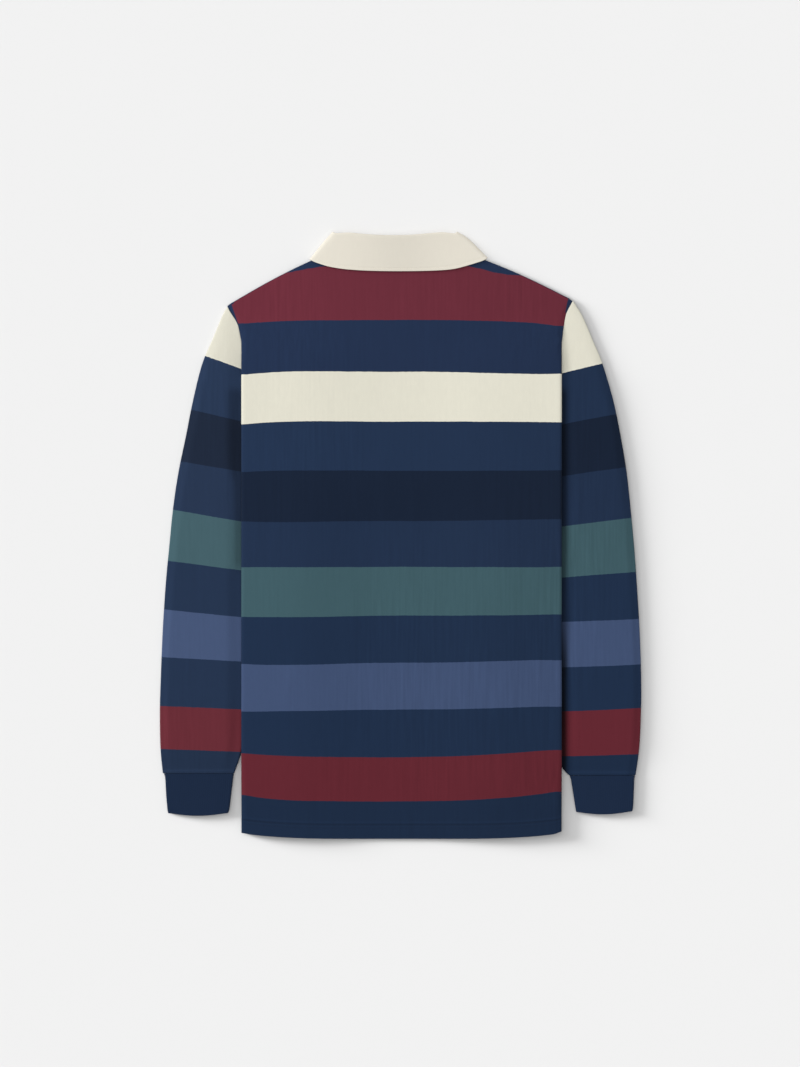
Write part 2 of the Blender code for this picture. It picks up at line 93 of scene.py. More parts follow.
def layCloth(name, points, flatPlace, wall, marks=None, edgeRound=0.25):
    # a grid is laid through the points, joined where it closes on itself, and given its wall
    rows, columns = points.shape[:2]
    clearSelection()
    bpy.ops.mesh.primitive_grid_add(x_subdivisions=columns - 1, y_subdivisions=rows - 1, size=1.0)
    piece = bpy.context.active_object
    piece.name = piece.data.name = name
    mesh = piece.data
    mesh.vertices.foreach_set("co", (points * 0.001).ravel())
    corner = np.zeros(len(mesh.loops), int)
    mesh.loops.foreach_get("vertex_index", corner)
    mesh.uv_layers[0].name = "cloth"
    mesh.uv_layers[0].data.foreach_set("uv", (flatPlace.reshape(-1, 2)[corner] * 0.001).ravel())
    for markName, values in (marks or {}).items():
        mesh.attributes.new(markName, "FLOAT", "POINT").data.foreach_set("value", values.ravel())
    bpy.ops.object.mode_set(mode="EDIT")
    bpy.ops.mesh.select_all(action="SELECT")
    bpy.ops.mesh.remove_doubles(threshold=0.00001)
    bpy.ops.mesh.normals_make_consistent(inside=False)
    bpy.ops.object.mode_set(mode="OBJECT")
    area = sum(face.area for face in mesh.polygons)
    applyModifier(piece, "SOLIDIFY", thickness=wall * 0.001, offset=0.0)
    if edgeRound:
        applyModifier(piece, "BEVEL", width=edgeRound * 0.001, segments=2, limit_method="ANGLE",
                      angle_limit=math.radians(60))
    bpy.ops.object.shade_smooth_by_angle(angle=math.radians(50))
    print("%s: %d faces, cloth %.4f square metres" % (name, len(mesh.polygons), area))
    return piece


# Body of the shirt

body = {
    "wall": 1.0, "spacing": 3.8, "hemY": -382.7, "tipRowY": 289.5,
    # neckline and shoulders
    "neckX": -4.0, "neckHalf": 90.0, "neckY": 353.0, "backDrop": 12.0, "frontDrop": 91.0, "neckShare": 0.44,
    "neckColumns": 24, "shoulderColumns": 30, "shoulderSlope": 0.7, "shoulderBow": 2.8,
    "topStart": 20.0, "tipStart": 200.0,
    # side folds, the strips tucked under, and where they open below the shoulder tips
    "rollBack": 3.0, "rollFront": 1.4, "foldInset": 0.6, "foldSteps": 10, "tuckSteps": 19,
    "drawIn": 0.018, "drawInFade": (190.0, 280.0), "tuckWidth": 72.0, "leastTuck": (1.5, 4.0),
    "leastTuckAt": (235.0, 262.0), "openAt": (198.0, 258.0), "openTurn": 16.0,
    "underarmY": 85.0, "tuckTopY": 225.0, "seenArmholeY": 245.0,
    # height of the middle between the two layers, at the sides and then at the middle line
    "centreHigh": 10.0, "centreHem": 5.8, "hemRise": (-365.0, -292.0),
    "centreTip": 2.7, "tipFall": (215.0, 290.0), "centreMiddle": 1.4, "centreNeck": 5.2,
    "neckRise": (5.0, 72.0), "shoulderRise": (215.0, 300.0),
    "riseStart": 20.0, "riseEnd": 140.0, "shoulderEnd": 205.0,
    # half the way between the layers, and where the neck opens them
    "layerOffset": 0.8, "neckOffset": 1.35, "neckOpening": (40.0, 110.0), "openingHalf": (75.0, 150.0),
    "cornerAcross": (-12.0, 7.0), "cornerDown": (-345.0, -382.0),
    "creaseFade": (165.0, 188.0), "frontCrease": 0.6,
}
left = {"name": "left", "sign": -1, "tipY": 291.3, "reach": 200.3, "cornerRise": 0.8}
right = {"name": "right", "sign": 1, "tipY": 297.6, "reach": 202.9, "cornerRise": 3.2}

# the seen armholes: height, then reach on the left and on the right
armhole = np.array([
    (245.0, 200.4, 203.2), (255.0, 202.2, 204.0), (264.0, 204.3, 205.4), (271.0, 208.0, 206.7),
    (278.0, 212.6, 208.2), (285.0, 216.8, 211.4), (289.5, 218.9, 214.0), (295.4, 218.9, 217.2),
    (297.6, 218.9, 217.8),
])
# the necklines' heights, in five steps from the middle to the shoulder
fifths = [step / 5 for step in range(6)]
backNeckYs = [body["neckY"] - body["backDrop"] * (1.0 - step ** 4) for step in fifths]
frontNeckYs = [body["neckY"] - body["frontDrop"] * math.sqrt(1.0 - step ** 2.2) for step in fifths]

# creases on the body: middle, half length, half width and height in millimetres, lean as a slope, and wander
creases = [
    (-22, 60, 150, 9, 0.38, 0.03, 5), (14, -20, 190, 7, 0.32, -0.02, 6),
    (48, -70, 130, 8, 0.30, 0.05, 4), (-58, -110, 110, 10, 0.28, -0.05, 5),
    (-138, -180, 55, 8, 0.35, 0.04, 3), (92, 40, 120, 11, 0.30, 0.06, 5),
    (-96, 90, 100, 12, 0.32, -0.08, 4), (70, -250, 70, 9, 0.30, 0.10, 3),
    (-30, -260, 80, 10, 0.28, 0.06, 4), (128, -140, 110, 12, 0.26, -0.04, 5),
    (-150, 150, 60, 13, 0.35, 0.22, 3), (150, 190, 55, 13, 0.35, -0.25, 3),
    (-40, 190, 60, 10, 0.25, 0.30, 3), (62, 215, 50, 11, 0.25, -0.30, 3),
]


def creaseLift(x, y):
    lift = np.zeros(np.broadcast(x, y).shape)
    for centreX, centreY, halfLength, halfWidth, height, lean, wander in creases:
        along = (y - centreY) / halfLength
        line = centreX + lean * (y - centreY) + wander * np.sin(2.3 * along + centreX)
        fade = np.clip(1.0 - along * along, 0.0, 1.0) ** 2
        lift += height * fade * np.exp(-((x - line) / halfWidth) ** 2)
    return lift * (1.0 - ease(*body["creaseFade"], np.abs(x)))


def edgeReach(side, y):
    column = 1 if side["sign"] < 0 else 2
    seen = np.interp(y, armhole[:, 0], armhole[:, column])
    return np.where(y <= body["seenArmholeY"], side["reach"], seen)


def tuckedWidth(y):
    share = np.clip((y - body["underarmY"]) / (body["tuckTopY"] - body["underarmY"]), 0.0, 1.0)
    least = mix(*body["leastTuck"], ease(*body["leastTuckAt"], y))
    return np.maximum(body["tuckWidth"] * (1.0 - share) ** 2, least)


def sideCentre(y):
    lower = mix(body["centreHem"], body["centreHigh"], ease(*body["hemRise"], y))
    return mix(lower, body["centreTip"], ease(*body["tipFall"], y))


def panelHeight(x, y, layer):
    # layer is 1 for the back and -1 for the front
    shoulder = ease(*body["shoulderRise"], y)
    middle = mix(body["centreMiddle"], body["centreNeck"], ease(*body["neckRise"], y))
    rise = ease(mix(body["riseStart"], body["neckHalf"], shoulder),
                mix(body["riseEnd"], body["shoulderEnd"], shoulder), np.abs(x))
    opening = ease(*body["neckOpening"], y) * (1.0 - ease(*body["openingHalf"], np.abs(x)))
    height = mix(middle, sideCentre(y), rise)
    height = height + layer * mix(body["layerOffset"], body["neckOffset"], opening)
    return height + creaseLift(x, y) * (1.0 if layer > 0 else body["frontCrease"])


def halfPanel(side, rowYs, layer):
    # from the middle line round the fold to the tucked seam, with how far each point is from the middle
    sign, tipRowY = side["sign"], body["tipRowY"]
    row = rowYs[:, None]
    top = ease(body["topStart"], tipRowY, row)
    base = row + (side["tipY"] - tipRowY) * ease(body["tipStart"], tipRowY, row)
    opened = ease(*body["openAt"], base)
    turn = mix(math.pi, math.radians(body["openTurn"]), opened)
    tucked = tuckedWidth(base)
    steep = np.minimum(turn, math.pi / 2)
    roll = body["rollBack"] if layer > 0 else body["rollFront"]
    lowering = body["shoulderSlope"] * ease(body["seenArmholeY"], tipRowY, base)
    seamY = base - lowering * (roll * turn + tucked)
    rolledIn = (body["rollBack"] + body["foldInset"]) * np.sin(steep) + tucked * np.cos(steep)
    foldX = edgeReach(side, seamY) - rolledIn
    neckColumns = np.linspace(0, 1, body["neckColumns"])
    shoulderColumns = np.linspace(0, 1, body["shoulderColumns"] + 1)[1:]
    share = np.concatenate([neckColumns * body["neckShare"], mix(body["neckShare"], 1.0, shoulderColumns)])
    neckY = np.interp(neckColumns * 5, np.arange(6), backNeckYs if layer > 0 else frontNeckYs)
    shoulderY = side["tipY"] + (body["neckY"] - side["tipY"]) * (1 - shoulderColumns)
    shoulderY += body["shoulderBow"] * np.sin(math.pi * shoulderColumns)
    topY = np.concatenate([neckY, shoulderY]) - side["tipY"]
    neckEnd = sign * body["neckHalf"] + body["neckX"]
    topX = np.concatenate([
        np.broadcast_to(mix(body["neckX"], neckEnd, neckColumns), (len(rowYs), len(neckColumns))),
        mix(neckEnd, sign * foldX, shoulderColumns[None, :])], axis=1)
    flatX = mix(mix(0.0, body["neckX"], top), sign * foldX, share[None, :])
    x = mix(flatX, topX, top)
    drawIn = body["drawIn"] * row * (1.0 - ease(*body["drawInFade"], row))
    y = base - drawIn * (np.abs(x) / foldX) ** 4 + topY * top ** 2
    z = panelHeight(x, y, layer)
    # the fold and the tucked strip
    arc = roll * turn
    foldSteps, tuckSteps = body["foldSteps"], body["tuckSteps"]
    folded = [arc * step / foldSteps for step in range(1, foldSteps + 1)]
    folded += [arc + tucked * step / tuckSteps for step in range(1, tuckSteps + 1)]
    length = np.concatenate([mix(place, (arc + tucked) * (number + 1) / len(folded), opened)
                             for number, place in enumerate(folded)], axis=1)
    angle = np.minimum(length / roll, turn)
    beyond = np.maximum(length - arc, 0.0)
    foldZ = sideCentre(base) - (body["rollBack"] - body["layerOffset"])
    foldPartX = sign * (foldX + roll * np.sin(angle) + beyond * np.cos(turn))
    foldPartZ = foldZ + roll * np.cos(angle) - beyond * np.sin(turn)
    foldPartY = base - drawIn - lowering * length
    across = np.concatenate([x, sign * (foldX + length)], 1)
    allY = np.concatenate([y, foldPartY], 1)
    # the hem's corners are soft
    corner = ease(*body["cornerAcross"], np.abs(across) - foldX) ** 2
    allY += side["cornerRise"] * corner * ease(*body["cornerDown"], row)
    points = np.stack([np.concatenate([x, foldPartX], 1), allY, np.concatenate([z, foldPartZ], 1)], axis=2)
    return points, across


def panel(rowYs, layer):
    leftPoints, leftAcross = halfPanel(left, rowYs, layer)
    rightPoints, rightAcross = halfPanel(right, rowYs, layer)
    points = np.concatenate([leftPoints[:, :0:-1], rightPoints], axis=1)
    across = np.concatenate([leftAcross[:, :0:-1], rightAcross], axis=1)
    return points, across


# Stripes of the body: the lower edge of each at the middle, then how far it has moved at 0.7 of the way to
# the left edge and at the left edge, and the same to the right. The yoke's own edge drops to the shoulders.
bodyStripes = [
    (270.1, -1.5, -4.9, -2.3, -8.6), (205.1, -0.7, -4.6, -2.8, -2.6), (142.5, -0.7, -4.2, -0.3, -1.7),
    (80.7, -0.2, -2.2, 0.0, 0.2), (17.4, -1.7, -0.4, 1.4, 1.6), (-40.5, 0.0, -0.2, -0.4, -0.2),
    (-102.1, -1.2, -0.5, 0.9, 1.4), (-161.5, -1.8, 0.2, 3.1, 2.7), (-220.4, -0.9, -1.2, 3.1, 3.8),
    (-280.4, 2.6, 6.7, 6.2, 9.8), (-335.7, 2.4, 10.4, 6.3, 13.8),
]
yokeStripe = np.array([
    (-160, 328.0), (-138, 330.4), (-118, 334.6), (-95, 338.1), (-50, 340.4), (0, 341.0), (50, 340.5),
    (84, 338.7), (103, 334.0), (118, 330.0), (134, 327.3), (151, 326.3), (170, 326.3)])
stripeLimits = {"pastEdge": 1.08, "aboveYoke": 40.0, "belowHemY": -400.0}


def stripeMove(share, partWay, atEdge):
    # 0.49 is 0.7 squared, and 0.372 is that less 0.7 to the sixth
    steep = (0.49 * atEdge - partWay) / 0.372
    return (atEdge - steep) * share ** 2 + steep * share ** 6


def stripePlace(x, y):
    # 0 to 1 is the first stripe, 1 to 2 the second, and so on down to the hem
    share = np.abs(x) / np.where(x < 0, left["reach"], right["reach"])
    share = np.clip(share, 0.0, stripeLimits["pastEdge"])
    edges = [np.interp(x, yokeStripe[:, 0], yokeStripe[:, 1])]
    edges += [middle + np.where(x < 0, stripeMove(share, *moves[:2]), stripeMove(share, *moves[2:]))
              for middle, *moves in bodyStripes]
    edges = [edges[0] + stripeLimits["aboveYoke"]] + edges + [np.full(x.shape, stripeLimits["belowHemY"])]
    place = np.zeros(x.shape)
    for number, (upper, lower) in enumerate(zip(edges, edges[1:])):
        inside = (y <= upper) & (y > lower)
        place = np.where(inside, number + (upper - y) / (upper - lower), place)
    return place


# the slim navy wedge at each shoulder tip: two points on its inner line, upper one first
wedges = {"left": ((-213.1, 291.4), (-204.2, 265.6)), "right": ((211.0, 298.6), (207.1, 279.2))}


def wedgeDepth(x, y):
    # how far a place is beyond a wedge's inner line
    depths = []
    for side in (left, right):
        (topX, topY), (lowX, lowY) = wedges[side["name"]]
        length = math.hypot(topX - lowX, topY - lowY)
        beyond = side["sign"] * ((x - lowX) * (topY - lowY) - (y - lowY) * (topX - lowX)) / length
        depths.append(np.minimum(beyond, y - lowY))
    return np.where(x < 0, depths[0], depths[1])


hem = {
    "depth": 17.6, "secondRow": 13.8, "finePart": 24.0, "fineRows": 34,
    "proud": 0.5, "step": (1.2, -0.6), "groove": 0.6, "grooveWidth": 1.1, "secondGroove": 0.6,
    "shownEnd": (190.0, 196.0), "besideAt": 2.9, "besideWidth": 1.2, "paler": 0.12, "darker": 0.24,
}
fineTop = body["hemY"] + hem["finePart"]


def hemGroove(aboveHem):
    # the two sewn rows of the hem, the upper one deeper
    upper = np.exp(-((aboveHem - hem["depth"]) / hem["grooveWidth"]) ** 2)
    lower = np.exp(-((aboveHem - hem["secondRow"]) / hem["grooveWidth"]) ** 2)
    return np.maximum(upper, hem["secondGroove"] * lower)


def shownPart(across):
    # 1 on the back that shows, and 0 from its side folds on
    return 1.0 - ease(*hem["shownEnd"], np.abs(across))


def hemRelief(aboveHem, across):
    proud = hem["proud"] * ease(hem["depth"] + hem["step"][0], hem["depth"] + hem["step"][1], aboveHem)
    return (proud - hem["groove"] * hemGroove(aboveHem)) * shownPart(across)


bodyRows = np.concatenate([
    np.linspace(body["hemY"], fineTop, hem["fineRows"])[:-1],
    np.linspace(fineTop, body["tipRowY"], int((body["tipRowY"] - fineTop) / body["spacing"]) + 1)])
panels = {}
foldedX = 195.0  # past this the stripes go straight round the fold
yokeHair = {"edge": 0.25, "rowBelow": -1.8}  # how far beyond the wedge line the shoulder edge counts
for clothName, layer in (("backCloth", 1), ("frontCloth", -1)):
    points, across = panel(bodyRows, layer)
    seenX = np.where(np.abs(across) > foldedX, np.sign(across) * foldedX, points[:, :, 0])
    marks = {"stripe": stripePlace(seenX, points[:, :, 1]),
             "wedge": wedgeDepth(points[:, :, 0], points[:, :, 1])}
    # the shoulder edge shows a hair of the navy yoke
    shoulderColumns = np.abs(across[-1]) > body["neckHalf"]
    rowBelow = marks["wedge"][-2, shoulderColumns]
    marks["wedge"][-2, shoulderColumns] = np.maximum(rowBelow, yokeHair["rowBelow"])
    marks["wedge"][-1, shoulderColumns] = yokeHair["edge"]
    aboveHem = bodyRows[:, None] - body["hemY"]
    if layer > 0:
        # the front rests flat on the surface, so only the back's hem stands out
        points[:, :, 2] += hemRelief(aboveHem, across)
    # painted shade along each row of sewing, with a painted highlight on either side of the upper one
    beside = np.exp(-((np.abs(aboveHem - hem["depth"]) - hem["besideAt"]) / hem["besideWidth"]) ** 2)
    lines = hem["paler"] * beside - hem["darker"] * hemGroove(aboveHem)
    marks["seam"] = np.broadcast_to(lines, across.shape)
    flatPlace = np.stack([across, points[:, :, 1]], axis=2)
    panels[clothName] = layCloth(clothName, points, flatPlace, body["wall"], marks)
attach(panels["backCloth"], "root")
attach(panels["frontCloth"], "root")
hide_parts("back_panel")
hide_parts("front_panel")
print("body laid")


# Sleeves and cuffs: tubes laid flat

# outer edge, then inner edge, from the armhole to the cuff seam
sleeve = {
    "wall": 1.0, "spacing": 4.0, "across": 56, "edgeSteps": 6, "bottomZ": 0.6, "rise": 2.6,
    # the crown, and how it grows from the body, the outer edge and the inner one
    "crown": 2.9, "crownFromBody": (2.0, 20.0), "crownFromOuter": (1.0, 12.0), "crownFromInner": (2.0, 20.0),
    "crownUp": (0.25, 180.0, 265.0), "crownDown": (0.5, -250.0, -300.0),
    # the ridge where the sleeve is gathered into the cuff, and the painted highlight line on it
    "ridge": 0.7, "ridgeAt": 3.4, "ridgeWidth": 2.0, "ridgeEnds": (1.0, 9.0),
    "sheen": 0.2, "sheenAt": 3.0, "sheenWidth": 1.6, "cuffRows": 13,
    "sewnFade": 12.0, "sewnGap": 0.35, "sewnSeen": (236.0, 250.0), "ivoryDepth": 90.0, "lastDepth": 60.0,
    "left": [
        (-219.0, 287.2, -129.0, 85.0), (-224.9, 275.7, -127.5, 77.0), (-237.5, 245.4, -126.0, 66.0),
        (-250.1, 215.2, -126.0, 52.0), (-261.5, 169.8, -128.0, 34.0), (-270.5, 124.5, -133.0, 10.0),
        (-279.8, 79.1, -140.0, -18.0), (-286.5, 33.8, -149.0, -48.0), (-291.0, -11.6, -159.0, -82.0),
        (-295.3, -57.0, -169.0, -118.0), (-299.3, -117.4, -181.0, -160.0), (-301.8, -177.9, -191.0, -205.0),
        (-303.0, -223.3, -195.0, -243.0), (-302.2, -268.6, -200.9, -275.0), (-299.3, -300.1, -209.4, -300.1)],
    "right": [
        (218.4, 294.6, 131.5, 85.0), (230.0, 275.7, 130.0, 77.0), (242.9, 245.4, 128.5, 66.0),
        (255.2, 215.2, 128.5, 52.0), (268.5, 169.8, 130.0, 34.0), (277.8, 124.5, 135.0, 10.0),
        (285.2, 79.1, 142.0, -18.0), (290.0, 33.8, 151.0, -48.0), (294.2, -11.6, 161.0, -82.0),
        (297.4, -57.0, 171.0, -118.0), (301.0, -117.4, 182.0, -160.0), (303.0, -177.9, 191.0, -207.0),
        (302.8, -223.3, 195.0, -250.0), (300.6, -268.6, 201.4, -288.0), (296.0, -302.4, 212.2, -302.8)],
    # stripe edges: height where the sleeve is at startX, and slope
    "leftStripes": {"startX": -227.4, "edges": [
        (218.0, -0.358), (148.9, -0.22), (84.0, -0.165), (21.4, -0.172), (-41.0, -0.129), (-100.8, -0.10),
        (-157.6, -0.052), (-218.4, -0.037), (-271.9, -0.03)]},
    "rightStripes": {"startX": 245.1, "edges": [
        (213.1, 0.245), (146.8, 0.195), (79.4, 0.145), (15.4, 0.13), (-51.1, 0.085), (-108.5, 0.045),
        (-165.6, 0.045), (-220.6, 0.05), (-277.6, 0.03)]},
}
cuff = {
    "wall": 1.4, "spacing": 2.0, "across": 48, "edgeSteps": 6, "bottomZ": 0.8, "rise": 3.0,
    "bow": 3.5, "crown": 0.5, "crownFromEdge": (2.0, 20.0),
    "left": [
        (-298.0, -300.5, -209.8, -300.5), (-296.3, -306.0, -210.6, -306.0), (-295.0, -328.0, -213.0, -326.0),
        (-293.4, -346.0, -215.4, -345.0), (-292.4, -350.2, -217.0, -350.0)],
    "right": [
        (295.2, -302.8, 212.8, -303.2), (294.4, -308.0, 214.6, -308.4), (293.6, -328.0, 217.6, -327.0),
        (292.8, -343.4, 220.2, -343.6), (291.8, -347.8, 221.2, -348.8)],
}


def armholeX(side, y):
    # where the sleeve is sewn on: beside the seen edge, then under the tucked strip
    seen = ease(*sleeve["sewnSeen"], y)
    return side["sign"] * mix(side["reach"] - tuckedWidth(y), edgeReach(side, y) + sleeve["sewnGap"], seen)


# painted shade on the sleeve in the gap beside the body: how deep, how far it is full and how it then fades,
# and the heights between which these change
gap = {
    "top": (176.0, 190.0),
    "rightDepth": (0.55, 0.92), "rightDeepens": (-100.0, -180.0), "rightFull": 3.0, "rightFade": 4.5,
    "leftDepth": 0.33, "leftStart": (-55.0, -30.0), "leftWidens": (60.0, 95.0),
    "leftFull": (5.0, 9.0), "leftFade": (4.0, 9.0),
}


def paintedGapShade(side, x, y):
    # painted shade on the sleeve in the gap beside the body, deeper on the right
    beyond = np.abs(x) - side["reach"]
    if side["sign"] > 0:
        depth = mix(*gap["rightDepth"], ease(*gap["rightDeepens"], y))
        full, fade = gap["rightFull"], gap["rightFade"]
    else:
        upper = ease(*gap["leftWidens"], y)
        depth = gap["leftDepth"] * ease(*gap["leftStart"], y)
        full, fade = mix(*gap["leftFull"], upper), mix(*gap["leftFade"], upper)
    return depth * (1.0 - ease(*gap["top"], y)) * np.exp(-(np.maximum(beyond - full, 0.0) / fade) ** 2)


def tube(outer, inner, bend, shape, crown):
    # closed sections of a flattened tube: under layer, outer edge, upper layer, inner edge
    roll = shape["rise"] / 2
    inset = shape["wall"] / 2 + roll
    width = np.hypot(*(inner - outer).T)[:, None]
    share = mix(inset / width, 1 - inset / width, np.linspace(0, 1, shape["across"] + 1)[None, :])
    flat = mix(outer[:, None, :], inner[:, None, :], share[:, :, None]) + bend(share)
    outward = flat[:, 0] - flat[:, 1]
    outward /= np.hypot(*outward.T)[:, None]
    inward = flat[:, -1] - flat[:, -2]
    inward /= np.hypot(*inward.T)[:, None]
    angle = np.linspace(0, math.pi, shape["edgeSteps"] + 1)[1:-1]
    outerEdge = flat[:, :1] + outward[:, None, :] * (roll * np.sin(angle))[None, :, None]
    innerEdge = flat[:, -1:] + inward[:, None, :] * (roll * np.sin(angle))[None, :, None]
    low = shape["bottomZ"]
    rows = len(outer)
    spots = np.concatenate([flat[:, ::-1], outerEdge, flat, innerEdge, flat[:, -1:]], axis=1)
    lowZ = np.full((rows, shape["across"] + 1), low)
    highZ = low + shape["rise"] + crown(flat)
    turnZ = np.broadcast_to(low + roll - roll * np.cos(angle), (rows, len(angle)))
    heights = np.concatenate([lowZ, turnZ, highZ, turnZ[:, ::-1], lowZ[:, :1]], axis=1)
    return np.concatenate([spots, heights[:, :, None]], axis=2)


def fromEdges(flat, rows):
    # how far each place is from the outer and the inner edge of its row
    return [np.hypot(*np.moveaxis(flat - rows[:, None, edge], 2, 0)) for edge in (slice(0, 2), slice(2, 4))]


def flatTubePlace(points):
    # places on the cloth itself: round the tube and down it
    step = np.hypot(*np.moveaxis(np.diff(points[:, :, :2], axis=1), 2, 0))
    around = np.concatenate([np.zeros((len(points), 1)), np.cumsum(step, axis=1)], axis=1)
    around -= around[:, -1:] / 2
    return np.stack([around, points[:, :, 1]], axis=2)


sleeveCloths, cuffRibs = {}, {}
for side in (left, right):
    name = side["name"]
    table = sleeve[name]
    places = evenPlaces(table, sleeve["spacing"])
    # finer rows beside the cuff
    places = np.concatenate([places[:-4], np.linspace(places[-4], places[-1], sleeve["cuffRows"])])
    rows = smoothRows(table, places)
    firstOuter, firstInner = rows[0, :2], rows[0, 2:]

    def sewnBend(share):
        sewnY = mix(firstOuter[1], firstInner[1], share)
        bendX = armholeX(side, sewnY) - mix(firstOuter[0], firstInner[0], share)
        fade = np.maximum(1.0 - places / sleeve["sewnFade"], 0.0)[:, None] ** 1.5
        return np.stack([bendX * fade, np.zeros(share.shape)], axis=2)

    def sleeveCrown(flat):
        fromBody, y = np.abs(flat[:, :, 0]) - side["reach"], flat[:, :, 1]
        fromOuter, fromInner = fromEdges(flat, rows)
        crown = sleeve["crown"] * ease(*sleeve["crownFromBody"], fromBody)
        crown *= ease(*sleeve["crownFromOuter"], fromOuter) * ease(*sleeve["crownFromInner"], fromInner)
        for lowered, start, end in (sleeve["crownUp"], sleeve["crownDown"]):
            crown *= mix(1.0, lowered, ease(start, end, y))
        ridge = np.exp(-((y - rows[-1, 1] - sleeve["ridgeAt"]) / sleeve["ridgeWidth"]) ** 2)
        ridge *= ease(*sleeve["ridgeEnds"], np.minimum(fromOuter, fromInner))
        return crown + sleeve["ridge"] * ridge

    points = tube(rows[:, :2], rows[:, 2:], sewnBend, sleeve, sleeveCrown)
    x, y = points[:, :, 0], points[:, :, 1]
    lines = sleeve[name + "Stripes"]
    edges = [height + slope * (x - lines["startX"]) for height, slope in lines["edges"]]
    # the ivory above the first edge is stripe 3 of the order, which runs from 3 to 4
    stripe = 4 - np.clip((y - edges[0]) / sleeve["ivoryDepth"], 0.0, 0.95)
    edges.append(edges[-1] - sleeve["lastDepth"])
    for number, (upper, lower) in enumerate(zip(edges, edges[1:]), start=4):
        stripe = np.where(y <= upper, number + np.clip((upper - y) / (upper - lower), 0, 1), stripe)
    # a painted highlight where the cloth catches the light just above the cuff, less the painted shade in the
    # gap beside the body; a sleeve has no wedge
    sheen = sleeve["sheen"] * np.exp(-((y - rows[-1, 1] - sleeve["sheenAt"]) / sleeve["sheenWidth"]) ** 2)
    onTop = points[:, :, 2] > sleeve["bottomZ"] + sleeve["rise"] / 2
    marks = {"stripe": stripe, "wedge": np.full(x.shape, -5.0), "seam": sheen - paintedGapShade(side, x, y) * onTop}
    cloth = layCloth("sleeve%sCloth" % name.title(), points, flatTubePlace(points), sleeve["wall"], marks)
    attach(cloth, "root")
    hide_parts("sleeve_" + name)
    sleeveCloths[name] = cloth

    cuffRows = smoothRows(cuff[name], evenPlaces(cuff[name], cuff["spacing"]))
    lastRow = len(cuff[name]) - 1.0
    down = np.linspace(0, lastRow, len(cuffRows))[:, None]

    def cuffBend(share):
        bow = cuff["bow"] * ease(1.0, lastRow, down) * np.sin(math.pi * share)
        return np.stack([np.zeros(share.shape), -bow], axis=2)

    def cuffCrown(flat):
        return cuff["crown"] * ease(*cuff["crownFromEdge"], np.minimum(*fromEdges(flat, cuffRows)))

    points = tube(cuffRows[:, :2], cuffRows[:, 2:], cuffBend, cuff, cuffCrown)
    rib = layCloth("cuff%sRib" % name.title(), points, flatTubePlace(points), cuff["wall"])
    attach(rib, "root")
    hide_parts("cuff_" + name)
    cuffRibs[name] = rib
print("sleeves and cuffs laid")


# Collar: a fall turned down over the back, its stand under it, both going round to the front

collar = {
    "fallWall": 1.2, "standWall": 1.0, "centreZ": 5.2, "fallLevel": 4.5, "standLevel": 1.35, "droop": 0.7,
    "bulgeLeft": 0.5, "bulgeRight": 2.2, "frontGap": 0.6, "rollSteps": 4, "groove": 0.22, "sewnShare": 0.915,
    "grooveWidth": 0.022, "fineFrom": 0.80, "columns": 15, "turnSteps": 8, "lip": 0.6,
    "standGap": 1.0, "neckGap": 0.35, "standColumns": 10, "stitchPitch": 2.8,
    # steps from the middle, fold line, outer edge
    "back": [
        (-5, -82.6, 376.8, -110.6, 343.6), (-4, -66.0, 378.3, -92.0, 337.2), (-3, -50.0, 376.4, -72.5, 333.9),
        (-2, -34.0, 375.2, -48.5, 332.1), (-1, -19.0, 374.7, -25.0, 331.4), (0, -5.0, 374.6, -2.0, 331.2),
        (1, 10.0, 374.9, 21.5, 331.4), (2, 25.0, 376.0, 45.0, 332.0), (3, 41.0, 377.6, 67.5, 333.6),
        (4, 55.0, 378.6, 90.0, 340.0), (5, 69.5, 376.6, 106.4, 345.2)],
    "front": [
        (4, 50.0, 328.0, 103.0, 323.0), (3, 32.0, 306.0, 97.0, 305.0), (2, 20.5, 299.5, 89.5, 289.0),
        (1, 10.0, 296.0, 81.0, 275.0), (0, 1.5, 294.5, 72.0, 262.0)],
}


def collarStations():
    # each is neck x, y, fold x, y, edge x, y, how far it has turned, the way out at the side, bulge
    neckX = body["neckX"]

    def station(row, front, turn, out, bulge):
        step = abs(row[0])
        neck = [neckX + body["neckHalf"] * row[0] / 5, (frontNeckYs if front else backNeckYs)[step]]
        if front and step == 0:
            neck[0] += math.copysign(collar["frontGap"], row[1] - neckX)
        return [*neck, *row[1:5], turn, *out, bulge]

    def sideOut(row, sign):
        along = np.array(row[3:5]) - np.array(row[1:3])
        along /= np.hypot(*along)
        return (-sign * along[1], sign * along[0])

    mirrored = [(-row[0], 2 * neckX - row[1], row[2], 2 * neckX - row[3], row[4]) for row in collar["front"]]
    leftEnd, rightEnd = collar["back"][0], collar["back"][-1]
    leftOut, rightOut = sideOut(leftEnd, -1), sideOut(rightEnd, 1)
    turns = np.linspace(0, math.pi, collar["rollSteps"] + 1)
    stations = [station(row, True, 0.0, (0, 0), 0.0) for row in reversed(mirrored)]
    stations += [station(leftEnd, False, turn, leftOut, collar["bulgeLeft"]) for turn in turns]
    stations += [station(row, False, math.pi, (0, 0), 0.0) for row in collar["back"][1:-1]]
    stations += [station(rightEnd, False, turn, rightOut, collar["bulgeRight"]) for turn in turns[::-1]]
    stations += [station(row, True, 0.0, (0, 0), 0.0) for row in collar["front"]]
    return np.array(stations)


def fineStations():
    coarse = collarStations()
    places = [0.0]
    for number in range(len(coarse) - 1):
        rolling = abs(coarse[number, 6] - coarse[number + 1, 6]) > 0.1
        places += list(number + np.linspace(0, 1, 4 if rolling else 6)[1:])
    places = np.array(places)
    fine = np.stack([np.interp(places, np.arange(len(coarse)), column) for column in coarse.T], axis=1)
    # the way out is held through the roll, so that it fades only beyond it
    for _ in range(4):
        fine[1:-1] = 0.25 * fine[:-2] + 0.5 * fine[1:-1] + 0.25 * fine[2:]
    return fine


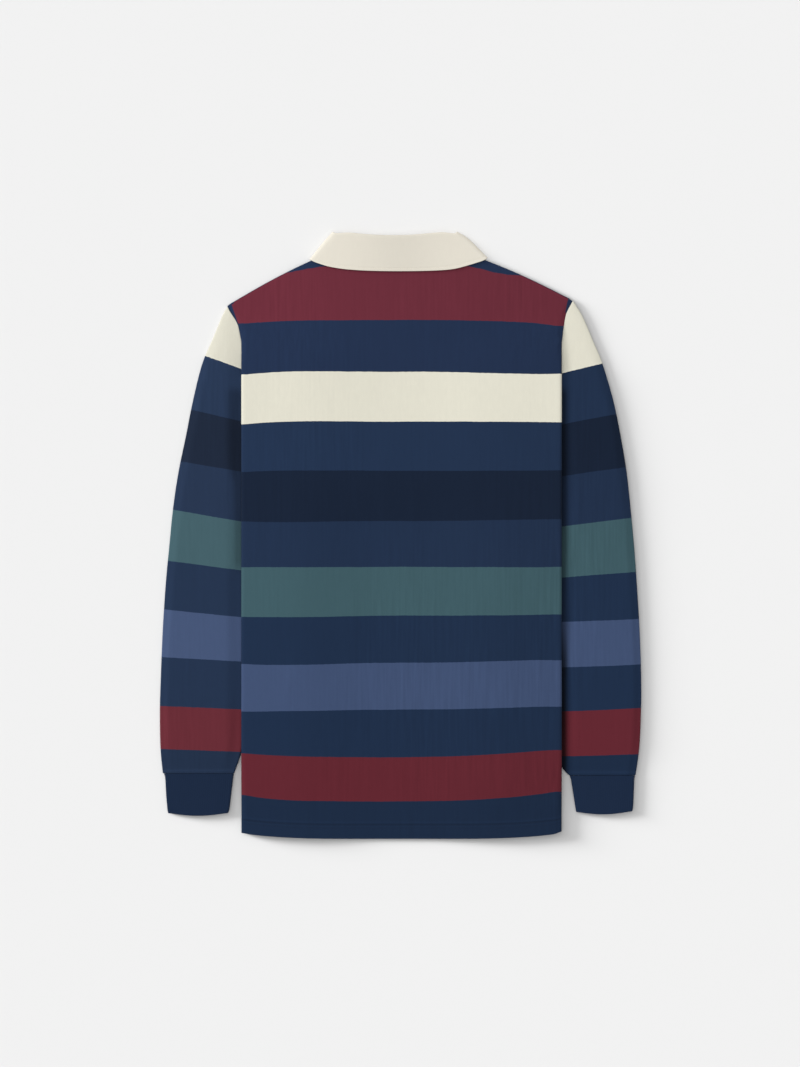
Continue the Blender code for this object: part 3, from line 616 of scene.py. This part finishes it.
stations = fineStations()
neckSpots, foldSpots, edgeSpots = stations[:, 0:2], stations[:, 2:4], stations[:, 4:6]
turned, outWays, bulges = stations[:, 6], stations[:, 7:9], stations[:, 9]
upright = np.sin(turned)


def collarPoints(spots, levels, shares):
    # spots are rows x columns x 2; levels and shares are rows x columns, and 6.75 makes the bulge's top 1
    sideways = (levels + bulges[:, None] * 6.75 * shares * (1 - shares) ** 2) * upright[:, None]
    flat = spots + outWays[:, None, :] * sideways[:, :, None]
    heights = collar["centreZ"] - levels * np.cos(turned)[:, None]
    return np.concatenate([flat, heights[:, :, None]], axis=2)


def innerCollarPoints(spots, levels):
    levels = np.broadcast_to(levels, spots.shape[:2])
    return collarPoints(spots, levels, np.zeros(spots.shape[:2]))


def collarFallPoints(shares):
    droop = collar["droop"] * ease(math.pi / 2, math.pi, turned)[:, None]
    spots = mix(foldSpots[:, None, :], edgeSpots[:, None, :], shares[None, :, None])
    sewn = collar["groove"] * np.exp(-((shares - collar["sewnShare"]) / collar["grooveWidth"]) ** 2)
    return collarPoints(spots, collar["fallLevel"] - droop * shares ** 2 - sewn,
                        np.broadcast_to(shares, spots.shape[:2]))


fineFrom, columns = collar["fineFrom"], collar["columns"]
fallShares = np.concatenate([np.linspace(1, fineFrom, columns), np.linspace(fineFrom, 0, columns)[1:]])
inwardWays = neckSpots - foldSpots
inwardWays /= np.hypot(*inwardWays.T)[:, None]
turnRadius = (collar["fallLevel"] - collar["standLevel"]) / 2
turnAngles = np.linspace(0, math.pi, collar["turnSteps"] + 1)[1:]
turnSpots = foldSpots[:, None, :] - inwardWays[:, None, :] * (turnRadius * np.sin(turnAngles))[None, :, None]
turnPoints = innerCollarPoints(turnSpots, collar["standLevel"] + turnRadius * (1 + np.cos(turnAngles)))
lipPoints = innerCollarPoints((foldSpots + inwardWays * collar["lip"])[:, None, :], collar["standLevel"])
fallPoints = np.concatenate([collarFallPoints(fallShares), turnPoints, lipPoints], axis=1)
standShares = np.linspace(0, 1, collar["standColumns"])
standStart = foldSpots + inwardWays * collar["standGap"]
standEnd = neckSpots - inwardWays * collar["neckGap"]
standSpots = mix(standStart[:, None, :], standEnd[:, None, :], standShares[None, :, None])
standPoints = innerCollarPoints(standSpots, collar["standLevel"])


def flatCollarPlace(points):
    roundNeck = np.cumsum(np.concatenate([[0.0], np.linalg.norm(np.diff(points[:, 0], axis=0), axis=1)]))
    down = np.linalg.norm(np.diff(points, axis=1), axis=2)
    down = np.concatenate([np.zeros((len(points), 1)), np.cumsum(down, axis=1)], axis=1)
    return np.stack([np.broadcast_to(roundNeck[:, None], down.shape), down], axis=2)


collarFall = layCloth("collarFallCloth", fallPoints, flatCollarPlace(fallPoints), collar["fallWall"])
collarStand = layCloth("collarStandCloth", standPoints, flatCollarPlace(standPoints), collar["standWall"])
for piece, node in ((collarFall, "collar_fall"), (collarStand, "collar_stand")):
    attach(piece, "root")
    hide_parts(node)
print("collar laid")


# Placket on the front, which lies underneath

placket = {"wall": 0.9, "width": 32.0, "topY": 261.0, "length": 179.0, "depth": 1.45,
           "rows": 71, "columns": 15, "sewnHalf": 0.43, "boxHeight": 26.0, "stitchPitch": 2.8}


def placketPoint(across, y):
    x = body["neckX"] + placket["width"] * across
    return np.stack([x, y, panelHeight(x, y, -1) - placket["depth"]], axis=-1)


placketYs = np.linspace(placket["topY"] - placket["length"], placket["topY"], placket["rows"])
placketAcross, placketY = np.meshgrid(np.linspace(-0.5, 0.5, placket["columns"]), placketYs)
placketPoints = placketPoint(placketAcross, placketY)
placketCloth = layCloth("placketCloth", placketPoints, placketPoints[:, :, :2], placket["wall"])
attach(placketCloth, "root")
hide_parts("placket")


# Buttons: a turned rim round a shallow dish with four holes

button = {"radius": 5.75, "thickness": 1.6, "rim": 1.3, "dish": 0.35, "dishSlope": 0.5, "edgeRound": 0.22,
          "holeRadius": 0.75, "holePlace": 1.35, "drillLength": 6.0}


def makeButton(name):
    clearSelection()
    mm = 0.001
    bpy.ops.mesh.primitive_cylinder_add(vertices=40, radius=button["radius"] * mm,
                                        depth=button["thickness"] * mm)
    disc = bpy.context.active_object
    disc.name = disc.data.name = name
    bpy.ops.object.mode_set(mode="EDIT")
    bpy.ops.mesh.select_all(action="DESELECT")
    bpy.ops.object.mode_set(mode="OBJECT")
    for face in disc.data.polygons:
        face.select = face.normal.z < -0.9
    bpy.ops.object.mode_set(mode="EDIT")
    bpy.ops.mesh.inset(thickness=button["rim"] * mm, depth=0.0)
    bpy.ops.mesh.inset(thickness=button["dishSlope"] * mm, depth=-button["dish"] * mm)
    bpy.ops.object.mode_set(mode="OBJECT")
    clearSelection()
    drills = []
    place = button["holePlace"] * mm
    for spot in ((-place, -place, 0.0), (-place, place, 0.0), (place, -place, 0.0), (place, place, 0.0)):
        bpy.ops.mesh.primitive_cylinder_add(vertices=16, radius=button["holeRadius"] * mm,
                                            depth=button["drillLength"] * mm, location=spot)
        drills.append(bpy.context.active_object)
    clearSelection()
    for drill in drills:
        drill.select_set(True)
    bpy.context.view_layer.objects.active = drills[0]
    bpy.ops.object.join()
    bpy.ops.object.transform_apply(location=True, rotation=True, scale=True)
    drill = bpy.context.active_object
    clearSelection()
    applyModifier(disc, "BOOLEAN", operation="DIFFERENCE", object=drill, solver="EXACT")
    applyModifier(disc, "BEVEL", width=button["edgeRound"] * mm, segments=2, limit_method="ANGLE",
                  angle_limit=math.radians(35))
    bpy.data.objects.remove(drill)
    disc.select_set(True)
    bpy.context.view_layer.objects.active = disc
    bpy.ops.object.shade_smooth_by_angle(angle=math.radians(40))
    return disc


firstButton = makeButton("button1")
buttons = [firstButton]
for number in (2, 3):
    copy = firstButton.copy()
    copy.data = firstButton.data.copy()
    copy.name = copy.data.name = "button%d" % number
    bpy.context.collection.objects.link(copy)
    buttons.append(copy)
for number, disc in enumerate(buttons, start=1):
    # each button takes the place of its own node
    low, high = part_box("button_%d" % number)
    spot = np.zeros(len(disc.data.vertices) * 3)
    disc.data.vertices.foreach_get("co", spot)
    spot = spot.reshape(-1, 3) + (np.array(low) + np.array(high)) / 2
    disc.data.vertices.foreach_set("co", spot.ravel())
    disc.data.update()
    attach(disc, "root")
    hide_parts("button_%d" % number)
print("placket and buttons laid")


# Sewing: one stitch is shaped once and set along each line

stitch = {"pitch": 3.2, "length": 2.6, "width": 0.55, "height": 0.34}


def stitchShape():
    clearSelection()
    bpy.ops.mesh.primitive_uv_sphere_add(segments=6, ring_count=4, radius=0.5)
    ball = bpy.context.active_object
    corners = np.array([vertex.co[:] for vertex in ball.data.vertices])[:, (2, 0, 1)]
    faces = [tuple(face.vertices) for face in ball.data.polygons]
    bpy.data.objects.remove(ball)
    return corners, faces


stitchCorners, stitchFaces = stitchShape()


def sewLine(name, lines, material, pitch=None, sink=0.0):
    # lines are (points, upward ways) along the sewn cloth
    pitch = pitch or stitch["pitch"]
    corners, faces = [], []
    for points, ways in lines:
        run = np.concatenate([[0.0], np.cumsum(np.linalg.norm(np.diff(points, axis=0), axis=1))])
        count = int(run[-1] / pitch)
        for spot in (np.arange(count) + 0.5) * run[-1] / count:
            centre = np.array([np.interp(spot, run, column) for column in points.T])
            ahead = np.array([np.interp(spot + 0.5, run, column) for column in points.T]) - centre
            up = np.array([np.interp(spot, run, column) for column in ways.T])
            ahead /= np.linalg.norm(ahead) + 1e-9
            aside = np.cross(up, ahead)
            aside /= np.linalg.norm(aside) + 1e-9
            up = np.cross(ahead, aside)
            shape = (stitchCorners[:, :1] * ahead * stitch["length"] * pitch / stitch["pitch"]
                     + stitchCorners[:, 1:2] * aside * stitch["width"]
                     + stitchCorners[:, 2:] * up * stitch["height"])
            start = len(corners) * len(stitchCorners)
            corners.append(shape + centre - up * sink)
            faces += [tuple(start + corner for corner in face) for face in stitchFaces]
    mesh = bpy.data.meshes.new(name)
    mesh.from_pydata((np.concatenate(corners) * 0.001).tolist(), [], faces)
    mesh.shade_smooth()
    piece = bpy.data.objects.new(name, mesh)
    bpy.context.collection.objects.link(piece)
    piece.data.materials.append(material)
    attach(piece, "root")
    print("%s: %d stitches" % (name, len(corners)))
    return piece


def surfaceWays(before, here, after):
    # the way up from a row of points, from the rows beside it
    along = np.gradient(here, axis=0)
    ways = np.cross(along, after - before)
    ways /= np.linalg.norm(ways, axis=1)[:, None] + 1e-9
    return ways


# Finishes

def shade(red, green, blue):
    # a colour as a screen shows it, 0 to 255, made the plain amounts that a shader takes
    channels = [channel / 255 for channel in (red, green, blue)]
    return tuple(c / 12.92 if c <= 0.04045 else ((c + 0.055) / 1.055) ** 2.4 for c in channels)


# the navy bands are set darker from the yoke down to the hem, and the lower maroon darker than the upper:
# painted shade where the light falls off down the shirt
shades = {
    "yokeNavy": shade(35, 50, 78), "topMaroon": shade(108, 45, 58), "chestNavy": shade(34, 49, 77),
    "ivory": shade(227, 224, 208), "ribNavy": shade(33, 50, 77), "inkNavy": shade(22, 34, 54),
    "waistNavy": shade(32, 48, 74), "green": shade(63, 91, 99), "lowNavy": shade(29, 46, 72),
    "slate": shade(64, 80, 113), "skirtNavy": shade(28, 45, 71), "lowMaroon": shade(98, 37, 47),
    "hemNavy": shade(26, 42, 66), "cuffNavy": shade(25, 40, 64), "thread": shade(30, 44, 68),
    "collar": shade(235, 229, 215), "button": shade(206, 197, 180), "floor": shade(201, 201, 201),
}
stripeOrder = ["yokeNavy", "topMaroon", "chestNavy", "ivory", "ribNavy", "inkNavy", "waistNavy", "green",
               "lowNavy", "slate", "skirtNavy", "lowMaroon", "hemNavy"]


def newGroup(name, outputs, **amounts):
    # every group reads a place, and some amounts that have their usual values here
    group = bpy.data.node_groups.new(name, "ShaderNodeTree")
    group.interface.new_socket("Place", in_out="INPUT", socket_type="NodeSocketVector")
    for socketName, value in amounts.items():
        socket = group.interface.new_socket(socketName, in_out="INPUT", socket_type="NodeSocketFloat")
        socket.default_value = value
    for socketName in outputs:
        group.interface.new_socket(socketName, in_out="OUTPUT", socket_type="NodeSocketFloat")
    return group, group.nodes.new("NodeGroupInput"), group.nodes.new("NodeGroupOutput")


def mathNode(tree, operation, first, second=None, third=None):
    node = tree.nodes.new("ShaderNodeMath")
    node.operation = operation
    for index, value in enumerate((first, second, third)):
        if value is None:
            continue
        if isinstance(value, (int, float)):
            node.inputs[index].default_value = value
        else:
            tree.links.new(value, node.inputs[index])
    return node.outputs[0]


def times(tree, first, second):
    return mathNode(tree, "MULTIPLY", first, second)


def timesPlus(tree, first, second, third):
    return mathNode(tree, "MULTIPLY_ADD", first, second, third)


def ridges(tree, value):
    # a rounded ridge over each whole step of the value
    return mathNode(tree, "SINE", times(tree, mathNode(tree, "FRACT", value), math.pi))


def splitPlace(tree, source):
    split = tree.nodes.new("ShaderNodeSeparateXYZ")
    tree.links.new(source, split.inputs[0])
    return split.outputs


def noise(tree, source, stretch, scale, detail):
    # 3-D noise drawn out down the cloth, from about -0.5 to 0.5
    mapping = tree.nodes.new("ShaderNodeMapping")
    mapping.inputs["Scale"].default_value = (1.0, stretch, 1.0)
    texture = tree.nodes.new("ShaderNodeTexNoise")
    texture.inputs["Scale"].default_value = scale
    texture.inputs["Detail"].default_value = detail
    tree.links.new(source, mapping.inputs["Vector"])
    tree.links.new(mapping.outputs[0], texture.inputs["Vector"])
    return mathNode(tree, "SUBTRACT", texture.outputs["Fac"], 0.5)


def endGroup(tree, end, **values):
    for key, value in values.items():
        tree.links.new(value, end.inputs[key])
    return tree


def buildKnitGroup():
    # jersey: columns of slanted stitches, read in the cloth's own places
    group, start, end = newGroup("jerseyKnit", ("Height", "Shade"), Wales=900.0, Courses=1150.0)
    across, down = splitPlace(group, start.outputs["Place"])[:2]
    wale = times(group, across, start.outputs["Wales"])
    course = times(group, down, start.outputs["Courses"])
    fold = mathNode(group, "PINGPONG", wale, 0.5)
    column = mathNode(group, "SINE", times(group, fold, math.pi))
    loop = ridges(group, timesPlus(group, fold, 1.1, course))
    height = times(group, column, timesPlus(group, loop, 0.5, 0.5))
    # the shade is painted shade between the stitches, darker where the knit lies low
    return endGroup(group, end, Height=height, Shade=timesPlus(group, height, 0.16, 0.92))


def buildTwillGroup():
    # twill: fine slanted lines with the thread's own ridges on them
    group, start, end = newGroup("cottonTwill", ("Height", "Shade"), Lines=1100.0)
    across, down = splitPlace(group, start.outputs["Place"])[:2]
    lean = timesPlus(group, down, 0.8, across)
    ridge = ridges(group, times(group, lean, start.outputs["Lines"]))
    thread = mathNode(group, "SINE", times(group, down, 9000.0))
    height = timesPlus(group, thread, 0.12, ridge)
    # the shade is painted shade between the twill's ridges
    return endGroup(group, end, Height=height, Shade=timesPlus(group, ridge, 0.05, 0.965))


def buildToneGroup():
    # slow unevenness of dye and lint, and fine streaks down the cloth, from the place in the shirt
    group, start, end = newGroup("dyeTone", ("Tone", "Waver", "Streak"), Depth=0.06)
    source = start.outputs["Place"]
    slow = noise(group, source, stretch=0.35, scale=7.0, detail=3.0)
    fine = noise(group, source, stretch=0.35, scale=260.0, detail=2.0)
    streak = noise(group, source, stretch=0.045, scale=330.0, detail=1.0)
    both = timesPlus(group, fine, 0.7, slow)
    # the streaks come and go in patches
    patch = timesPlus(group, slow, 3.0, 0.5)
    patch = mathNode(group, "MINIMUM", mathNode(group, "MAXIMUM", patch, 0.15), 1.0)
    return endGroup(group, end, Tone=timesPlus(group, both, start.outputs["Depth"], 1.0),
                    Waver=timesPlus(group, fine, 0.012, times(group, slow, 0.05)),
                    Streak=times(group, streak, patch))


knitGroup, twillGroup, toneGroup = buildKnitGroup(), buildTwillGroup(), buildToneGroup()


def startMaterial(name, roughness, sheen):
    material = bpy.data.materials.new(name)
    material.use_nodes = True
    tree = material.node_tree
    shader = tree.nodes["Principled BSDF"]
    shader.inputs["Roughness"].default_value = roughness
    shader.inputs["Specular IOR Level"].default_value = 0.1
    shader.inputs["Sheen Weight"].default_value = sheen
    shader.inputs["Sheen Roughness"].default_value = 0.45
    return material, tree, shader


def place(tree, kind):
    return tree.nodes.new("ShaderNodeTexCoord").outputs[kind]


def useGroup(tree, group, **values):
    node = tree.nodes.new("ShaderNodeGroup")
    node.node_tree = group
    for key, value in values.items():
        if isinstance(value, (int, float)):
            node.inputs[key].default_value = value
        else:
            tree.links.new(value, node.inputs[key])
    return node


def paint(tree, shader, colour, *values):
    # the base colour is the colour times each of the values
    for value in values:
        node = tree.nodes.new("ShaderNodeVectorMath")
        node.operation = "SCALE"
        if isinstance(colour, tuple):
            node.inputs[0].default_value = colour
        else:
            tree.links.new(colour, node.inputs[0])
        tree.links.new(value, node.inputs["Scale"])
        colour = node.outputs[0]
    tree.links.new(colour, shader.inputs["Base Color"])


def bump(tree, shader, height, distance, strength):
    node = tree.nodes.new("ShaderNodeBump")
    node.inputs["Distance"].default_value = distance
    node.inputs["Strength"].default_value = strength
    tree.links.new(height, node.inputs["Height"])
    tree.links.new(node.outputs[0], shader.inputs["Normal"])


def attribute(tree, name):
    node = tree.nodes.new("ShaderNodeAttribute")
    node.attribute_name = name
    return node.outputs["Fac"]


jerseyLook = {"roughness": 0.9, "sheen": 0.03, "unevenness": 0.09, "streak": 0.07, "darkStreak": 0.26,
              "relief": 0.00018, "strength": 0.6, "paintedSheenTone": 0.1, "rampSteps": 16}


def makeJersey(name, gain, ivoryGain, paintedLightSlope=(0.0, 0.0), paintedSheen=0.0):
    # the painted light slope is how much lighter the dark bands are painted a metre to the right and a metre
    # up
    material, tree, shader = startMaterial(name, jerseyLook["roughness"], jerseyLook["sheen"])
    tone = useGroup(tree, toneGroup, Place=place(tree, "Object"), Depth=jerseyLook["unevenness"])
    knit = useGroup(tree, knitGroup, Place=place(tree, "UV"))
    ramp = tree.nodes.new("ShaderNodeValToRGB")
    ramp.color_ramp.interpolation = "CONSTANT"
    stops = ramp.color_ramp.elements
    while len(stops) < len(stripeOrder):
        stops.new(0.5)
    # a ramp is read in 256 steps, so each stripe takes 16 of them and starts on a whole one
    steps = jerseyLook["rampSteps"]
    for number in range(len(stripeOrder)):
        stops[number].position = max(steps * number - 0.5, 0) / 256
    for number, shadeName in enumerate(stripeOrder):
        # the alpha tells the dark bands from the ivory one
        dark = 0.0 if shadeName == "ivory" else 1.0
        share = gain if dark else ivoryGain
        # a painted grey sheen can lift the dark bands
        colour = [mix(channel * share, jerseyLook["paintedSheenTone"], paintedSheen * dark)
                  for channel in shades[shadeName]]
        stops[number].color = (*colour, dark)
    waver = mathNode(tree, "ADD", tone.outputs["Waver"], attribute(tree, "stripe"))
    tree.links.new(mathNode(tree, "DIVIDE", waver, float(steps)), ramp.inputs["Fac"])
    # painted shading: the dark bands grow lighter or darker along the painted light slope
    across, down = splitPlace(tree, place(tree, "Object"))[:2]
    lean = timesPlus(tree, down, paintedLightSlope[1], times(tree, across, paintedLightSlope[0]))
    streaksAndPaintedLight = timesPlus(tree, lean, ramp.outputs["Alpha"], 1.0)
    streakDepth = timesPlus(tree, ramp.outputs["Alpha"], jerseyLook["darkStreak"], jerseyLook["streak"])
    streaksAndPaintedLight = timesPlus(tree, tone.outputs["Streak"], streakDepth, streaksAndPaintedLight)
    # painted shade and painted highlights: the sewn rows of the hem, the line above the cuff and the gap
    # beside the body
    streaksAndPaintedLight = mathNode(tree, "ADD", streaksAndPaintedLight, attribute(tree, "seam"))
    wedge = tree.nodes.new("ShaderNodeMix")
    wedge.data_type = "RGBA"
    tree.links.new(mathNode(tree, "GREATER_THAN", attribute(tree, "wedge"), 0.0), wedge.inputs["Factor"])
    # sockets 6 and 7 are the two colours, and output 2 their mix
    tree.links.new(ramp.outputs["Color"], wedge.inputs[6])
    wedge.inputs[7].default_value = (*shades["yokeNavy"], 1.0)
    paint(tree, shader, wedge.outputs[2], tone.outputs["Tone"], knit.outputs["Shade"], streaksAndPaintedLight)
    bump(tree, shader, knit.outputs["Height"], jerseyLook["relief"], jerseyLook["strength"])
    return material


twillLook = {"roughness": 0.85, "sheen": 0.03, "unevenness": 0.05, "relief": 0.00012, "strength": 0.5,
             "paintedMiddleShade": 0.12, "paintedShadePerMetre": 18.0}


def makeTwill(name, shadeName):
    material, tree, shader = startMaterial(name, twillLook["roughness"], twillLook["sheen"])
    tone = useGroup(tree, toneGroup, Place=place(tree, "Object"), Depth=twillLook["unevenness"])
    twill = useGroup(tree, twillGroup, Place=place(tree, "UV"))
    # painted shade: a little darker at the middle
    apart = times(tree, splitPlace(tree, place(tree, "Object"))[0], twillLook["paintedShadePerMetre"])
    bell = mathNode(tree, "DIVIDE", twillLook["paintedMiddleShade"], timesPlus(tree, apart, apart, 1.0))
    paintedMiddleShade = mathNode(tree, "SUBTRACT", 1.0, bell)
    paint(tree, shader, shades[shadeName], tone.outputs["Tone"], twill.outputs["Shade"], paintedMiddleShade)
    bump(tree, shader, twill.outputs["Height"], twillLook["relief"], twillLook["strength"])
    return material


ribLook = {"roughness": 0.9, "sheen": 0.03, "unevenness": 0.08, "wales": 420.0, "courses": 1000.0,
           "relief": 0.0003, "strength": 0.6}


def makeRib(name):
    material, tree, shader = startMaterial(name, ribLook["roughness"], ribLook["sheen"])
    tone = useGroup(tree, toneGroup, Place=place(tree, "Object"), Depth=ribLook["unevenness"])
    rib = useGroup(tree, knitGroup, Place=place(tree, "UV"), Wales=ribLook["wales"],
                   Courses=ribLook["courses"])
    paint(tree, shader, shades["cuffNavy"], tone.outputs["Tone"], rib.outputs["Shade"])
    bump(tree, shader, rib.outputs["Height"], ribLook["relief"], ribLook["strength"])
    return material


threadLook = {"roughness": 0.6, "sheen": 0.05, "unevenness": 0.2}


def makeThread(name, shadeName, gain):
    material, tree, shader = startMaterial(name, threadLook["roughness"], threadLook["sheen"])
    tone = useGroup(tree, toneGroup, Place=place(tree, "Object"), Depth=threadLook["unevenness"])
    paint(tree, shader, tuple(channel * gain for channel in shades[shadeName]), tone.outputs["Tone"])
    return material


hornLook = {"roughness": 0.3, "coat": 0.3, "swirlScale": 160.0, "swirl": 2.5, "lighter": 0.35, "least": 0.82}


def makeHorn(name):
    material, tree, shader = startMaterial(name, hornLook["roughness"], 0.0)
    swirl = tree.nodes.new("ShaderNodeTexNoise")
    swirl.inputs["Scale"].default_value = hornLook["swirlScale"]
    swirl.inputs["Distortion"].default_value = hornLook["swirl"]
    tree.links.new(place(tree, "Object"), swirl.inputs["Vector"])
    value = timesPlus(tree, swirl.outputs["Fac"], hornLook["lighter"], hornLook["least"])
    paint(tree, shader, shades["button"], value)
    shader.inputs["Coat Weight"].default_value = hornLook["coat"]
    return material


# the body is painted lighter on the left and darker on the right, as painted shade across it
bodyJersey = makeJersey("bodyJersey", 0.985, 1.0, paintedLightSlope=(-0.36, 0.0))
# lit and shaded copies of one jersey: the left sleeve is painted lighter, with a painted grey sheen on its
# dark bands, and the right one darker, growing lighter towards its cuff
sleeveJerseys = {"left": makeJersey("leftSleevePaintedLitJersey", 1.15, 0.96, paintedSheen=0.04),
                 "right": makeJersey("rightSleevePaintedShadedJersey", 0.95, 0.99, paintedLightSlope=(0.0, -0.3))}
collarTwill = makeTwill("collarTwill", "collar")
cuffRib = makeRib("cuffRib")
horn = makeHorn("hornButton")
navyThread = makeThread("navyThread", "thread", 1.0)
ivoryThread = makeThread("ivoryThread", "collar", 1.02)

finishes = [(panels.values(), bodyJersey), (cuffRibs.values(), cuffRib), (buttons, horn),
            ((collarFall, collarStand, placketCloth), collarTwill)]
finishes += [([cloth], sleeveJerseys[name]) for name, cloth in sleeveCloths.items()]
for pieces, material in finishes:
    for piece in pieces:
        piece.data.materials.append(material)
print("finishes made")


# Stitch lines

stitchLift = {"hem": 0.05, "hemBack": 0.1, "hemSink": 0.2, "collar": 0.04, "placket": -0.02}


def hemLine(layer, above):
    # a row of the panel a little above the hem, on its outer side
    rowY = body["hemY"] + above
    here, across = panel(np.array([rowY - 1.0, rowY, rowY + 1.0]), layer)
    ways = layer * surfaceWays(here[0], here[1], here[2])
    points = here[1] + ways * (body["wall"] / 2 + stitchLift["hem"])
    if layer > 0:
        points[:, 2] += hemRelief(above, across[1]) + stitchLift["hemBack"] * shownPart(across[1])
    return points, ways


def placketLine(across, y):
    across, y = np.broadcast_arrays(across, y)
    points = placketPoint(across, y) - np.array([0, 0, placket["wall"] / 2 + stitchLift["placket"]])
    return points, np.tile([0.0, 0.0, -1.0], (len(points), 1))


backHemLines, frontHemLines = [[hemLine(layer, above) for above in (hem["depth"], hem["secondRow"])]
                               for layer in (1, -1)]
hemSewing = sewLine("hemBackStitches", backHemLines, navyThread, sink=stitchLift["hemSink"])
frontHemSewing = sewLine("hemFrontStitches", frontHemLines, navyThread, sink=stitchLift["hemSink"])

nearEdge = collarFallPoints(collar["sewnShare"] + np.array([-0.015, 0.0, 0.015]))
collarWays = surfaceWays(nearEdge[:, 0], nearEdge[:, 1], nearEdge[:, 2])
if collarWays[len(collarWays) // 2, 2] < 0:
    collarWays = -collarWays
collarLine = nearEdge[:, 1] + collarWays * (collar["fallWall"] / 2 + stitchLift["collar"])
collarSewing = sewLine("collarEdgeStitches", [(collarLine, collarWays)], ivoryThread,
                       pitch=collar["stitchPitch"])

# two lines down the placket and a box at its lower end
sewnYs, sewnHalf = placketYs[2:-2], placket["sewnHalf"]
placketLines = [placketLine(across, sewnYs) for across in (-sewnHalf, sewnHalf)]
placketLines += [placketLine(np.linspace(-sewnHalf, sewnHalf, 20), y)
                 for y in (sewnYs[0], sewnYs[0] + placket["boxHeight"])]
placketSewing = sewLine("placketStitches", placketLines, ivoryThread, pitch=placket["stitchPitch"])
print("sewing done")


# Floor, light and camera

clearSelection()
surface = {"size": 8.0, "z": -0.0002, "roughness": 0.95, "unevenness": 0.004}
bpy.ops.mesh.primitive_plane_add(size=surface["size"], location=(0.0, 0.0, surface["z"]))
floor = bpy.context.active_object
floor.name = floor.data.name = "paleFloor"
bpy.ops.object.transform_apply(location=True)
floorMaterial, floorTree, floorShader = startMaterial("palePaper", surface["roughness"], 0.0)
floorTone = useGroup(floorTree, toneGroup, Place=place(floorTree, "Object"), Depth=surface["unevenness"])
paint(floorTree, floorShader, shades["floor"], floorTone.outputs["Tone"])
floor.data.materials.append(floorMaterial)

light = {"keyStrength": 1.4, "keyAngle": 24.0, "keyTilt": 68.0, "keyTurn": 155.0,
         "lowStrength": 8.8, "lowAngle": 14.0, "lowTilt": 79.5, "lowTurn": 161.0,
         "topStrength": 1.3, "topAngle": 90.0, "topTilt": 12.0, "worldStrength": 0.43}


def addSun(name, strength, angle, tilt, turn):
    bpy.ops.object.light_add(type="SUN", location=(0.0, 0.0, 2.0))
    sun = bpy.context.active_object
    sun.name = name
    sun.data.energy = strength
    sun.data.angle = math.radians(angle)
    # tilt from straight down, coming from the compass turn, counted from +X
    sun.rotation_euler = (0.0, math.radians(tilt), math.radians(turn))
    return sun


addSun("keyLight", light["keyStrength"], light["keyAngle"], light["keyTilt"], light["keyTurn"])
addSun("topLight", light["topStrength"], light["topAngle"], light["topTilt"], light["keyTurn"])
# the photograph's long soft shadow: a low light that reaches the floor only, and that the collar lets by
lowLight = addSun("lowLight", light["lowStrength"], light["lowAngle"], light["lowTilt"], light["lowTurn"])
lowReach = bpy.data.collections.new("lowLightReach")
lowReach.objects.link(floor)
lowLight.light_linking.receiver_collection = lowReach
lowStops = bpy.data.collections.new("lowLightStops")
for piece in (*panels.values(), *sleeveCloths.values(), *cuffRibs.values()):
    lowStops.objects.link(piece)
lowLight.light_linking.blocker_collection = lowStops
world = bpy.data.worlds.new("softRoom")
world.use_nodes = True
background = world.node_tree.nodes["Background"]
background.inputs["Color"].default_value = (1.0, 1.0, 1.0, 1.0)
background.inputs["Strength"].default_value = light["worldStrength"]
bpy.context.scene.world = world

# straight down, from a point just beside the shirt's middle
view = {"place": (-0.00063, 0.0016, 3.734), "lens": 100.0, "sensor": 36.0, "reach": 50.0}
bpy.ops.object.camera_add(location=view["place"], rotation=(0.0, 0.0, 0.0))
camera = bpy.context.active_object
camera.name = "topCamera"
camera.data.lens = view["lens"]
camera.data.sensor_fit = "VERTICAL"
camera.data.sensor_height = view["sensor"]
camera.data.clip_end = view["reach"]
bpy.context.scene.camera = camera
bpy.context.scene.view_settings.view_transform = "Standard"
bpy.context.scene.view_settings.look = "None"
print("light and camera set")
